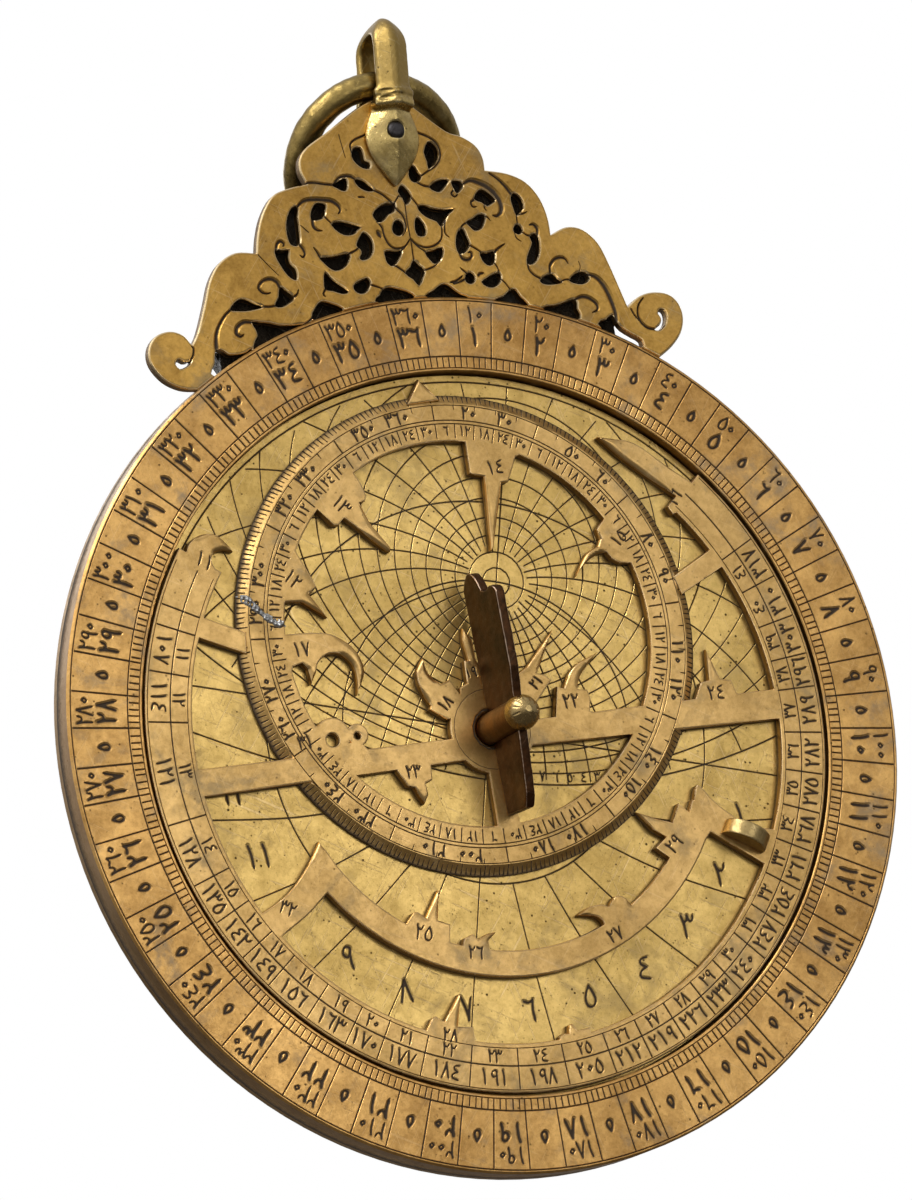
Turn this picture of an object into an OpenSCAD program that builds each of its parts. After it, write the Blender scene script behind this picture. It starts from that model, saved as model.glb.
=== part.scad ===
// Astrolabe: mater with openwork throne, three plates, pierced star net, pin and horse,
// shackle and ring, and a sighting rule with two vanes on the back.
// Drawn upright: throne to +Z, engraved face to -Y, pin on the Y axis, limb face in the plane Y = 0.
// Each piece is drawn lying in the plane of the face (x right, y to the throne, z out of the face).

/* [Mater] */
// Diameter of the limb over its edge, mm
limb_d = 150; // [130:1:180]
// Width of the limb's face from its edge to the recess, mm
limb_w = 13; // [11:0.5:16]
// Thickness of limb and back plate together, mm
mater_t = 7; // [6.5:0.1:9]
// Thickness of the back plate, mm
back_t = 1.8; // [1.2:0.1:2.5]

/* [Plates and star net] */
// Thickness of one latitude plate, mm
plate_t = 1.0; // [0.7:0.05:1.1]
// Thickness of the star net, mm
net_t = 1.8; // [1.2:0.05:1.9]
// How far the star net lies below the limb face, mm
net_drop = 0.3; // [0.2:0.05:0.8]
// Width of the sloping edge of the ecliptic ring, mm
bevel_w = 1.7; // [1:0.1:2.5]

/* [Pin and horse] */
// Diameter of the pin, mm
pin_d = 5.5; // [5:0.1:6.5]
// Thickness of the horse, mm
horse_t = 1.7; // [1.2:0.1:2]
// Height of the horse at its head, mm
horse_h = 12.8; // [11:0.1:14]

/* [Throne, shackle and ring] */
// Thickness of the openwork sheet of the throne, mm
throne_t = 1.8; // [1.4:0.1:2]
// Thickness of the sheet behind the openwork, mm
ground_t = 1.0; // [0.6:0.1:1.2]
// Diameter of the shackle rivet, mm
rivet_d = 2.9; // [2:0.1:3.5]
// Wire diameter of the ring, mm
wire_d = 4.8; // [4:0.1:4.9]
// Radius of the ring to the middle of its wire, mm
ring_r = 14.1; // [13.8:0.1:15]

/* [Sighting rule] */
// Length of the sighting rule, mm
rule_l = 146; // [130:1:148]
// Thickness of the sighting rule, mm
rule_t = 2; // [1.5:0.1:3]
// Height of a sight vane, mm
vane_h = 13; // [10:0.5:18]

/* [Hidden] */
$fn = 96;
fit = 0.08;                       // running fit on a radius
lift = 0.05;                      // gap between two faces that slide
limb_r = limb_d / 2;
recess_r = limb_r - limb_w;
m = limb_r / 75;                  // the throne follows the limb
u = recess_r / 62;                // the net follows the recess
floor_z = back_t - mater_t;       // floor of the recess
net_z = -net_drop - net_t;        // underside of the star net
pin_r = pin_d / 2;
bore_r = pin_r + fit;
rule_z = -mater_t - lift - rule_t;
washer_t = 0.8;
washer_z = rule_z - lift - washer_t;
head_z = washer_z - lift;
foot_z = floor_z - 1.2;           // the throne's foot reaches down behind the limb's rim
horse_z = -net_drop + lift;       // the horse rides on the hub of the net
pin_out = horse_h - 1.2;          // the pin's cap begins just above the horse's waist
horse_turn = 1.9;                 // it stands a little askew, as its slot in the pin does
horse_x = 0.4;
throne_all = throne_t + ground_t;
mid_z = -throne_all / 2;
rivet_at = [-0.4, limb_r + 28.9 * m];
shackle_turn = -5.2;
leaf_rise = 3.2;                  // from the throne to the ridge of a leaf
leg_in = wire_d / 2 + 0.85;
ring_at = [-0.5, limb_r + 29.2 * m + 6.5 + wire_d / 2, mid_z - 0.1];
ring_tilt = 33;
ecl = [-1.1 * u, 16.7 * u];       // middle of the ecliptic ring, off the pin
ecl_out = 41.4 * u;
ecl_in = 33.1 * u;

// A soft curve through the points of a list, n steps between two of them
function spline_at(a, b, c, d, t) = 0.5 * (2 * b + (c - a) * t + (2 * a - 5 * b + 4 * c - d) * t * t
    + (3 * b - a - 3 * c + d) * t * t * t);
function curve(p, n = 4) = let (k = len(p)) concat([for (i = [0 : k - 2]) for (j = [0 : n - 1])
    spline_at(p[max(i - 1, 0)], p[i], p[i + 1], p[min(i + 2, k - 1)], j / n)], [p[k - 1]]);
function loop(p, n = 2) = let (k = len(p)) [for (i = [0 : k - 1]) for (j = [0 : n - 1])
    spline_at(p[(i + k - 1) % k], p[i], p[(i + 1) % k], p[(i + 2) % k], j / n)];
function back_to_front(p) = [for (i = [len(p) - 1 : -1 : 0]) p[i]];
function arc(r, a, b, n) = [for (i = [0 : n]) r * [cos(a + (b - a) * i / n), sin(a + (b - a) * i / n)]];

module upright() { rotate([90, 0, 0]) children(); }
module slab(z0, z1) { translate([0, 0, z0]) linear_extrude(z1 - z0) children(); }
// the recess floor, the face for the back scales, and holes for pin and rivets
module mater_back() color("#b88752") upright() difference() {
    union() {
        slab(-mater_t + 0.4, floor_z) circle(limb_r, $fn = 180);
        translate([0, 0, -mater_t]) cylinder(h = 0.4, r1 = limb_r - 0.4, r2 = limb_r, $fn = 180);
    }
    slab(-mater_t - 1, 1) circle(bore_r);
    for (k = [0 : 7]) rotate(22.5 + 45 * k) translate([(limb_r + recess_r) / 2, 0, -mater_t - 1])
        cylinder(h = mater_t, r = 1);
}

// graduated rim; its edge is eased, and a notch low in its wall keys the plates
module limb_ring() color("#be8a55") upright() difference() {
    rotate_extrude($fn = 180) polygon([[recess_r, floor_z], [limb_r, floor_z], [limb_r, -0.35],
        [limb_r - 0.35, 0], [recess_r + 0.15, 0], [recess_r, -0.15]]);
    slab(floor_z - 1, net_z + lift / 2) translate([-2.6, -recess_r - 2]) square([5.2, 4]);
    for (k = [0 : 7]) rotate(22.5 + 45 * k) translate([(limb_r + recess_r) / 2, 0, floor_z - 1])
        cylinder(h = 1 - floor_z - 2.2, r = 1);
    dowel_places() cylinder(h = 30, r = 0.9);
}
module limb_rivets() color("#a87848") upright() for (k = [0 : 7]) rotate(22.5 + 45 * k)
    translate([(limb_r + recess_r) / 2, 0, -mater_t]) cylinder(h = mater_t - 2.2, r = 1);

// Throne: outline of its left and right side from the limb up, lobe by lobe
function left_volute() = [[-42.6, 61.7], [-45.5, 62.1], [-48.3, 63.7], [-50.2, 66.5], [-50.2, 69.2],
    [-48.6, 71.3], [-46, 72], [-43.7, 71.2], [-42.4, 69.4]];
function left_low() = [[-42.4, 69.4], [-41, 71.6], [-39, 76.3], [-37.4, 80.3], [-35.2, 83.2], [-32, 84.8],
    [-28.3, 84.5]];
function left_mid() = [[-28.3, 84.5], [-27.6, 87.5], [-26.2, 91], [-23.8, 94.2], [-20.8, 95.4],
    [-17.2, 96]];
function left_top() = [[-17.2, 96], [-18, 98.3], [-17.7, 100.5], [-16, 102.5], [-12, 104.9], [-8.5, 107.2],
    [-5, 109.3], [-2.4, 110.3]];
function right_volute() = [[42.6, 61.7], [45.2, 63.4], [47.4, 65.7], [48.4, 68.4], [48, 71], [46.3, 72.8],
    [43.2, 73.3],
    [40.5, 72.6], [38.3, 71]];
function right_low() = [[38.3, 71], [37.4, 74.4], [36.3, 78.4], [34.8, 82.6], [32.3, 85.2], [29.3, 85.8],
    [26.2, 84.6]];
function right_mid() = [[26.2, 84.6], [26.2, 87.6], [25.3, 91.2], [23.2, 94.2], [20, 95.9], [16, 96.7]];
function right_top() = [[16, 96.7], [16, 99], [15, 101.2], [12.7, 102.9], [10, 104], [6, 107.4], [3, 110]];
// openings of the openwork: each is a soft loop through a few points, cut by saw and file
function left_openings() = [
    [[-38.3, 68.3], [-37, 67.9], [-36.2, 67.3], [-34.6, 67.2], [-33, 67.5], [-31.8, 68.1], [-32.6, 66],
    [-35.5, 64.6], [-38, 63.4], [-39.8, 64.3], [-38.9, 65.9]], [[-34.6, 75], [-33.6, 76.1],
    [-32.4, 76.7], [-31.2, 76.4], [-30, 75.7], [-28.6, 75.2], [-30, 74.9], [-31.8, 74.7], [-33.4, 74.8]],
    [[-26.5, 75.2], [-25.5, 76.7], [-25.1, 78.5], [-24, 77.6], [-22.8, 76.4], [-23.9, 75.6],
    [-25.2, 75]], [[-24.8, 84.9], [-23.6, 84.6], [-22.4, 84.7], [-22.7, 83.5], [-22.5, 82.3],
    [-21.8, 81.5], [-21.6, 80.5], [-21.9, 79.5], [-22.8, 79.9], [-23.6, 80.9], [-24.3, 82.3],
    [-24.8, 83.6]], [[-19.5, 92.2], [-20.6, 91.9], [-21.6, 90.4], [-22.1, 88.5], [-22.1, 86.8],
    [-21.8, 85.7], [-20.9, 85.4], [-20.2, 85.8], [-20, 87.2], [-19.9, 89], [-19.9, 90.4]],
    [[-17.3, 89.7], [-17.2, 91], [-16.4, 92.2], [-15.4, 92.6], [-14.4, 92.2], [-14.7, 91.2],
    [-14.9, 90.3], [-15.8, 89.8]], [[-13.9, 88.7], [-12.6, 89.1], [-10.9, 88.8], [-9.6, 88.3],
    [-8.6, 88], [-9.3, 87.6], [-9.9, 87], [-11.2, 86.7], [-12.6, 87.2]], [[-8.3, 87], [-7.4, 86.2],
    [-7, 85], [-7.2, 83.6], [-8, 82.6], [-9.2, 82.2], [-9.7, 82.6], [-9.2, 83.3], [-9.3, 84.1],
    [-9.9, 84.7], [-9.5, 85.6], [-8.9, 86.4]], [[-17, 83.1], [-15.4, 83], [-13.4, 83.2], [-11.5, 83.5],
    [-12, 82], [-13.2, 81], [-14.6, 80.7], [-15.6, 81.3], [-16.5, 82.3]], [[-16.5, 80.5], [-15.7, 79.4],
    [-14.4, 78.2], [-12.8, 76.9], [-14, 76.6], [-15.6, 77.2], [-16.9, 77.5], [-16.9, 78.7]],
    [[-11.7, 77.7], [-10.8, 78.4], [-9.6, 78.8], [-8.9, 78.9], [-8.6, 78.1], [-9, 77.3], [-9.7, 76.6],
    [-10.7, 76.4], [-11.5, 76.9]], [[-8.2, 74.9], [-7.2, 75.8], [-6.5, 76.8], [-5.2, 77.1], [-3.6, 76.7],
    [-2, 76.1], [-1, 75.3], [-2.4, 74.4], [-5.5, 74.1]], [[-20.2, 72.6], [-19.2, 74.4], [-18, 75.4],
    [-16.4, 75], [-14.4, 74], [-14.8, 72.6], [-17.5, 71.8]], [[-31.1, 72.7], [-29.6, 72.5], [-28, 72.3],
    [-26.4, 71.8], [-24, 71.6], [-21.8, 71.7], [-22, 70.8], [-26, 68.9], [-31.3, 67.4], [-31.1, 69.2],
    [-30.4, 70.2], [-30.6, 71.4]], [[-8.1, 100.5], [-7.6, 101.8], [-6.4, 101.9], [-6, 100.9],
    [-5.9, 99.6], [-5, 99.2], [-5.2, 98.2], [-6.4, 98.3], [-7.5, 99.2]], [[-12.5, 95.6], [-11.2, 96.3],
    [-9.9, 96.6], [-9.8, 95.5], [-10.2, 94.6], [-11, 94.6], [-11.8, 95.1]], [[-8.3, 96.4], [-6.9, 96.1],
    [-5.9, 95.2], [-5.1, 94.3], [-6.2, 94.2], [-7.3, 94.7], [-8, 95.4]], [[-6, 90], [-4.9, 91.1],
    [-3.4, 91.8], [-1.7, 91.8], [-2, 90.4], [-3.2, 90], [-4, 89.2], [-5.2, 88.6], [-5.7, 89.2]],
    [[-2.9, 87.2], [-2.4, 88.4], [-1.5, 88.8], [-0.8, 88], [-0.9, 86.8], [-1.8, 86.1], [-2.6, 86.4]],
    [[-5, 83.4], [-4, 83.5], [-3, 83.3], [-1.9, 83.4], [-2.4, 82.4], [-3.3, 81.3], [-4, 80.8],
    [-4.8, 81.4], [-5, 82.4]]];
function middle_openings() = [
    [[-1.9, 79.4], [-0.8, 80.3], [0, 81.6], [0.8, 80.7], [1.7, 79.8], [1.1, 78.4], [0.2, 77.2],
    [-0.6, 78.3]], [[-0.7, 93.8], [0.1, 94.9], [1, 94], [1.5, 92.9], [1.1, 92.1], [0.3, 91.5],
    [-0.1, 92.6]]];
function right_openings() = [
    [[5.3, 100.5], [6.3, 102.2], [7.3, 101.8], [7.8, 100.6], [7.5, 99.2], [6.4, 98], [5.6, 97.5],
    [5.6, 98.8]], [[1.8, 96.6], [2.3, 98.2], [3, 98], [3.4, 97], [3.9, 96.2], [3, 95.3], [2.1, 95.6]],
    [[5.2, 94.3], [6.4, 95.1], [7.8, 95.5], [8.9, 95.2], [8, 94.3], [7, 93.4], [6, 93.6]], [[9.4, 94.9],
    [10.2, 95.2], [11.2, 94.9], [11.4, 94.2], [10.8, 93.5], [10, 93], [9.6, 93.9]], [[13.1, 91.8],
    [13.9, 92.9], [14.9, 93.3], [16, 92.6], [17, 91.4], [16.3, 90.9], [15.2, 90.4], [14.4, 91.1],
    [13.8, 91.3]], [[10.9, 87.7], [12.2, 88.2], [13.3, 88.9], [14.5, 88.8], [14.2, 87.6], [13.4, 86.5],
    [12.2, 86.2], [11.5, 86.9]], [[9.8, 86.7], [9, 86], [8.5, 84.8], [8.3, 83.4], [8.6, 82.3],
    [9.4, 82.4], [10.2, 83], [10.8, 83.9], [10.5, 85], [10.3, 86]], [[12.5, 82.2], [13.6, 82],
    [15, 82.3], [15.1, 81.4], [14.8, 80.4], [13.8, 79.9], [13, 80.4], [12.6, 81.2]], [[11.9, 77],
    [13, 77.6], [14.1, 78.2], [15.4, 78.4], [15.5, 77.3], [14.8, 76.5], [13.6, 76], [12.6, 76.3]],
    [[8.9, 77.8], [9.4, 78.7], [10.2, 78.8], [10.7, 78.1], [10.5, 77.3], [9.8, 76.9], [9.1, 77.2]],
    [[1.2, 75.2], [2.8, 76], [4.2, 76.9], [5.4, 76.9], [6.5, 76], [7.6, 75.1], [9, 74.4], [6, 73.9],
    [3, 74.3]], [[13.4, 73.7], [15.4, 74.2], [16.8, 75.2], [17.8, 75.3], [18.5, 74.1], [19.7, 72.6],
    [19, 71.8], [15.5, 72.7]], [[19.9, 91.2], [20.3, 92.3], [21.2, 92], [21.9, 90.9], [21.9, 89.6],
    [21.1, 88.8], [20.4, 88.4], [20.1, 89.8]], [[19.4, 85.7], [19.7, 86.4], [20.3, 86.8], [20.9, 86.2],
    [20.9, 85.4], [20.1, 85.1]], [[22.2, 84.5], [23, 84.9], [23.7, 84.6], [23.8, 83.4], [23.5, 81.8],
    [22.9, 80.5], [21.9, 79.7], [20.9, 79.8], [21.2, 81], [21.9, 82.2], [22.5, 83.4]], [[22.8, 76.8],
    [23.7, 77.3], [24.8, 77.7], [25.6, 77.4], [26, 76.7], [26.7, 76.1], [25.4, 75.9], [24, 75.9],
    [23, 76.2]], [[28.2, 76.3], [29.2, 77.2], [30.2, 77.7], [31.4, 77.6], [32, 76.8], [31.5, 76],
    [30.4, 75.6], [29.2, 75.8]], [[22.4, 71.8], [24.6, 72], [26.8, 72.5], [28.5, 73], [28.9, 72.2],
    [28.7, 71.2], [29.1, 70.2], [28.3, 69.2], [25, 69.6]], [[32.2, 68.3], [33.8, 69], [35.2, 69.8],
    [35.7, 68.6], [36.6, 67.2], [38.4, 65.9], [39.8, 64.9], [39.3, 63.4], [35, 65]], [[2.4, 90.9],
    [3.8, 91], [5.4, 90.4], [7.2, 90.1], [9, 90.2], [7.8, 89.4], [7, 88.2], [6.1, 87.2], [5.5, 88.2],
    [4.2, 88.8], [3, 89.7]], [[1.3, 87], [1.5, 88.3], [2, 89.1], [2.6, 88.4], [3.1, 87.4], [3.1, 86.4],
    [2.6, 85.8], [1.6, 85.9]], [[2.4, 82.8], [3.8, 83], [5.6, 83.5], [5.5, 82.4], [4.9, 81.3],
    [3.8, 80.8], [3.1, 81.5]]];
function volute_openings() = [
    [[-45.8, 66.3], [-45.5, 66.9], [-44.9, 67], [-44.3, 66.6], [-43.5, 66.6], [-43, 66.8], [-43.4, 66.2],
    [-44.3, 65.7], [-45.2, 65.5]], [[43.8, 69.5], [44.2, 70.1], [44.9, 70], [45.2, 69.3], [45.1, 68.3],
    [44.5, 67.2], [43.4, 66.5], [42.6, 66.7], [43.6, 67.3], [44.2, 68.2], [44.1, 69]]];
function left_side() = concat(curve(left_volute()), curve(left_low()), curve(left_mid()),
    curve(left_top()));
function right_side() = concat(curve(right_volute()), curve(right_low()), curve(right_mid()),
    curve(right_top()));

module throne_outline() difference() {
    scale(m) polygon(concat([[-42.6, 50]], left_side(), back_to_front(right_side()), [[42.6, 50]]));
    circle(limb_r, $fn = 180);
}
module openwork_cut() scale(m) for (side = [left_openings(), middle_openings(), right_openings(),
    volute_openings()]) for (o = side) polygon(loop(o));
module throne() color("#be8a55") upright() difference() {
    slab(-throne_t, 0) difference() {
        throne_outline();
        openwork_cut();
        translate(rivet_at) circle(rivet_d / 2 + fit);
    }
}
// plain sheet behind the openwork, with a curved foot along the rim of the limb
module throne_ground() color("#5a4226") upright() difference() {
    union() {
        slab(-throne_all, -throne_t) difference() {
            scale(m) polygon(concat([[-41, 50]], curve([[-37.3, 65.2], [-36.6, 74], [-34.6, 80],
                [-30.4, 82.6]]),
                curve([[-26.6, 84.8], [-24.2, 90], [-20, 93.6], [-16, 95.2]]),
                curve([[-16, 98.6], [-14.6, 101.6], [-8, 105.8], [-2.2, 109]]),
                curve([[2.6, 109], [6, 105.6], [12.6, 101.2], [14.4, 98.4]]),
                curve([[14.6, 95.8], [19.4, 94], [23.2, 90.6], [24.6, 84.8]]),
                curve([[29.4, 83.8], [33, 81.4], [35.4, 73.6], [35.8, 66.2]]), [[41, 50]]));
            circle(limb_r, $fn = 180);
        }
        slab(foot_z, -throne_all) difference() {
            intersection() {
                circle(limb_r + 3, $fn = 180);
                polygon([[0, 0], 2 * limb_r * [cos(119), sin(119)], 2 * limb_r * [0, 1],
                    2 * limb_r * [cos(62), sin(62)]]);
            }
            circle(limb_r, $fn = 180);
        }
    }
    slab(-20, 1) translate(rivet_at) circle(rivet_d / 2 + fit);
    dowel_places() cylinder(h = 30, r = 0.9);
}
module dowel_places() for (a = [72, 90, 108]) rotate(a) translate([limb_r - 5, 0,
    (floor_z - throne_all) / 2])
    rotate([0, 90, 0]) children();
module throne_dowels() color("#a87848") upright() intersection() {
    dowel_places() cylinder(h = 30, r = 0.9);
    slab(-20, 0) circle(limb_r + 3, $fn = 180);
}

// latitude plates, keyed by a lug in the notch of the limb
module tympan(k) upright() slab(floor_z + k * plate_t, floor_z + (k + 1) * plate_t) difference() {
    union() {
        circle(recess_r - 0.3, $fn = 180);
        translate([-2.4, -recess_r - 1.7]) square([4.8, 4]);
    }
    circle(bore_r);
}
module tympan_front() color("#c9a45c") tympan(2);
module tympan_middle() color("#c39e57") tympan(1);
module tympan_rear() color("#bd9851") tympan(0);

// Star net: bands, bars and star pointers of one pierced sheet, seen from the front
module band() {
    difference() {
        circle(61.5, $fn = 180);
        circle(53.2, $fn = 180);
        polygon(concat([[0, 0]], arc(90, 41.5, 145, 6)));
    }
    // crescent at the left end, long blade at the right one
    polygon(concat(curve([[-49.4, 34], [-48.6, 35.7], [-46.7, 37], [-44.5, 37.2], [-42.4, 36.1],
        [-40.8, 33.9]]),
        curve([[-42.6, 34.3], [-44.2, 33.9], [-45, 32.7], [-44.2, 30.2]]), [[-47, 29]]));
    polygon(concat(curve([[28.7, 48.7], [35, 47.1], [40, 43], [44.7, 39.3]]), [[46, 40.7], [46, 36],
        [40, 34],
        [39.2, 35.5]], curve([[41.2, 37.2], [36, 41.5], [32, 45], [28.7, 48.5]])));
}
module bars() {
    polygon([[-54, -2.1], [-5, -0.9], [-5, -4.9], [-54, -6.7]]);
    polygon([[5, 0.9], [54, 2.3], [54, -3], [5, -3.4]]);
    polygon([[-49.4, 23.8], [-41, 20.1], [-41.5, 16.4], [-51, 20.5]]);
    polygon([[47, 28.1], [38, 23.3], [39, 20], [49, 24.9]]);
    polygon([[-1.9, -6], [2, -6], [2.3, -18], [-1.9, -18]]);
    circle(7.6);
}
module low_arc() {
    difference() {
        circle(42.1, $fn = 180);
        circle(37.6, $fn = 180);
        polygon(concat([[0, 0]], arc(90, -24, 212, 12)));
    }
    polygon(concat(curve([[-34, -15.9], [-36.5, -19.5], [-39.5, -22.8], [-42.5, -25], [-46.6, -27]]),
        [[-48, -30], [-43.3, -31.4]], curve([[-43.3, -31], [-38, -27.8], [-34, -24.5]]),
        arc(42.1, 216, 219, 1), curve([[-31, -21.5], [-32.2, -19.3], [-34, -15.9]])));
    polygon(concat([[28.6, -25.1], [26, -22.9], [28.3, -21.2], [26.2, -19.8], [23.7, -16.4], [29.9, -18.9],
        [31.7, -15.7], [33.5, -17.5]], curve([[34.4, -16.3], [35.8, -12.9], [38, -15.5], [40.5, -18],
        [44, -20.6], [48.6, -21.8]]), [[49, -26], [45.6, -27.6], [36.7, -21.2], [34, -24.2]]));
}
module upper_stars() {
    // index over the ring, then the pointers inside it from the top to the right and round
    polygon([[-5.6, 56.6], [-2.6, 61], [0.5, 57]]);
    polygon([[3.9, 50], [3.8, 44], [4.5, 43.6], [6.3, 43.2], [5.4, 30.5], [5.9, 30.6], [9.3, 41.9],
        [10.6, 42],
        [12.7, 46.2], [15, 47]]);
    polygon(concat([[29.5, 35.5], [26.9, 34.2], [25.3, 32.6], [25.7, 30.8]],
        curve([[25.1, 29.7], [23, 28.7], [21.3, 26.6], [20.2, 24.7]]),
        curve([[20.2, 24.7], [22, 26.6], [24.5, 28.2], [26.4, 28.5]]), [[27.1, 27.3], [28.5, 26.4],
            [30.8, 26.2],
        [33.5, 26]]));
    polygon(concat([[-16.4, 47.6]], curve([[-17.3, 45.8], [-16.2, 43.6], [-15.7, 41.6], [-16, 40.6]]),
        [[-17.1, 40.4]], curve([[-15.6, 36.8], [-13.2, 33.2], [-12.7, 32.2], [-13.6, 31.9], [-18.5, 36.4],
        [-20.3, 38]]), [[-21.5, 36.8], [-22.4, 36.9], [-25.4, 40.4], [-26, 42]]));
    polygon([[-32.8, 36.4], [-31.6, 35], [-30, 33.4], [-28.5, 30], [-27.2, 26.7], [-28.5, 25.5],
        [-26, 21.4],
        [-30.2, 24.3], [-33.2, 24.6], [-34.6, 21], [-36.4, 22]]);
    polygon(concat(curve([[-36, 19.1], [-30, 19.1], [-26, 18.5], [-23, 16.7], [-21.3, 14], [-21.1, 11.4],
        [-23, 7.9]]),
        curve([[-23, 7.9], [-22.7, 10.5], [-23, 13], [-24.6, 14.8], [-27, 15.2], [-29, 14], [-29.9, 12],
            [-30.8, 10.4]]),
        [[-31.1, 12.9], [-32, 14], [-33.6, 13.6], [-34.4, 12], [-36, 12]]));
}
module middle_stars() {
    // looped leaf on the left bar
    difference() {
        union() {
            translate([-28.6, 1.4]) circle(3.1);
            translate([-24.2, 1.2]) circle(1.9);
            polygon([[-34.5, 3], [-31, 3.4], [-31, -1.6], [-34, -1.6]]);
            polygon([[-29, 0], [-24, 0], [-22.4, -1.8], [-31, -1.8]]);
        }
        translate([-28.8, 0.7]) circle(1.1);
        translate([-24.3, 1]) circle(0.55);
    }
    // round the hub
    polygon(concat([[-6.2, 2.4], [-7.8, 2.3], [-10.6, 4.3]], curve([[-10.3, 4.9], [-11.7, 8], [-11.8, 10.8],
        [-10.2, 13.2]]), curve([[-10.2, 13.2], [-9.7, 10.6], [-7.9, 8.4]]), [[-6.1, 9.1], [-4.8, 6.4],
            [-4.6, 7.5],
        [-3.1, 8.2], [-3, 12], [-2.2, 12.1], [-2.6, 15.5], [-2.2, 17.7], [-0.9, 15.6], [-0.8, 12],
            [1, 9]]));
    polygon([[3, 6], [6.8, 9.2], [8.3, 10.1], [14.2, 16], [9.9, 8.8], [11.2, 8.4], [12.3, 7.4], [7.2, 2]]);
    polygon(concat([[11.7, 0.6], [13, 6.2]], curve([[14.3, 5.8], [15.8, 8.3], [18, 10], [21.7, 11.4]]),
        curve([[21.7, 11.4], [19.6, 9.5], [17.8, 7.6], [16.8, 5.4]]), [[18.6, 5.2], [18.9, 3.5],
            [18.4, 1.6],
        [19.6, 0.4]]));
    polygon([[-18.4, -4.5], [-18.3, -5.6], [-16.8, -8.3], [-15.6, -8.6], [-15.1, -10], [-14.2, -11.5],
        [-13.4, -10],
        [-13.5, -8], [-12.2, -7.6], [-12, -4.5]]);
    // on the right bar
    polygon([[38, 0.5], [38.2, 1.8], [39.8, 4.6], [41.4, 5], [41.9, 10.3], [43.5, 4.9], [45.5, 4.5],
        [46.3, 1.5],
        [46.5, 0]]);
}
module lower_stars() {
    // on the low arc, then on the outer band
    polygon([[-22, -32], [-21, -31], [-19.5, -29.4], [-18.8, -29.3], [-17.4, -30.3], [-14.4, -26],
        [-14.2, -26.1],
        [-15.4, -31.1], [-13.3, -32], [-14, -35.5]]);
    polygon([[-12, -36.4], [-11.3, -34.6], [-9.6, -34], [-8.9, -35], [-7, -34.2], [-5.2, -34],
        [-7, -35.4], [-7, -38]]);
    polygon(concat(curve([[10, -32.6], [12.2, -31.6], [14.5, -31.4], [15.6, -31.9]]), curve([[15.6, -31.9],
        [17, -30.4], [18.6, -30.5], [20.6, -32.6]]), [[20, -34], [14, -37]],
        curve([[13.3, -36], [14.3, -34.8], [13.2, -33.4], [10, -32.8]])));
    polygon([[-21.6, -50.4], [-19.3, -47.2], [-18.6, -46.9], [-17.2, -48], [-13.8, -43.7], [-13.4, -43.8],
        [-14.9, -49], [-12.3, -49.4], [-12.5, -53], [-21, -53]]);
    polygon([[2.6, -54], [2.8, -52.7], [3.6, -52.2], [4.6, -52.3], [4.9, -50.9], [5.6, -50.7], [6.2, -52],
        [8.5, -51.7], [8.8, -54]]);
}
module rete() color("#c9a45c") upright() difference() {
    union() {
        slab(net_z, -net_drop) scale(u) {
            band();
            bars();
            low_arc();
            upper_stars();
            middle_stars();
            lower_stars();
        }
        // ecliptic ring with its sloping scale edge
        translate([ecl[0], ecl[1], 0]) rotate_extrude($fn = 180) polygon([[ecl_in, net_z], [ecl_out, net_z],
            [ecl_out, -net_drop - net_t * 0.62], [ecl_out - bevel_w, -net_drop], [ecl_in, -net_drop]]);
    }
    slab(net_z - 1, 1) circle(bore_r);
    translate([0, 0, -net_drop - 0.6]) cylinder(h = 0.61, r1 = bore_r, r2 = bore_r + 0.5);
}
// a mended crack across the ecliptic ring, run over with solder
module ecliptic_repair() color("#77787a") upright() slab(-net_drop, -net_drop + 0.18) scale(u)
    polygon([[-39.6, 26.4], [-38.3, 24.7], [-36.9, 23.3], [-35.6, 22.3], [-34.6, 20.9], [-34.1, 22],
        [-35.1, 23.2],
        [-36.3, 24], [-37.4, 25.1], [-38.8, 25.8]]);
// half-round finger knob standing on the bar of the low arc
module rete_knob() color("#b98f4e") upright() translate([42.8 * u, -22.5 * u, -net_drop]) rotate(-31)
    intersection() {
        translate([0, 1.4, 0]) rotate([90, 0, 0]) cylinder(h = 2.8, r = 4.1);
        translate([-5, -5, 0]) cube([10, 10, 6]);
    }

// Pin with its flat head behind the sighting rule and a slot for the horse
module pin() color("#8a5a34") upright() difference() {
    union() {
        translate([0, 0, head_z]) cylinder(h = pin_out - head_z, r = pin_r);
        translate([0, 0, head_z - 1.6]) cylinder(h = 1.6, r1 = pin_r + 1, r2 = pin_r + 1.7);
    }
    slot_space();
}
module slot_space() rotate(horse_turn) translate([horse_x - horse_t / 2 - 0.08, -6, horse_z - 0.25])
    cube([horse_t + 0.16, 12, horse_h - 1.5 - horse_z + 0.25]);
module pin_cap() color("#c8a25a") upright() translate([0, 0, pin_out]) rotate_extrude($fn = 96)
    polygon(concat([[0, 0]], curve([[pin_r + 0.05, 0], [pin_r + 0.25, 0.5], [pin_r + 0.2, 1.2],
        [pin_r, 2.1], [pin_r - 0.6, 3.1], [pin_r - 1.5, 3.8], [0.6, 4.1]]), [[0, 4.1]]));
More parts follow.
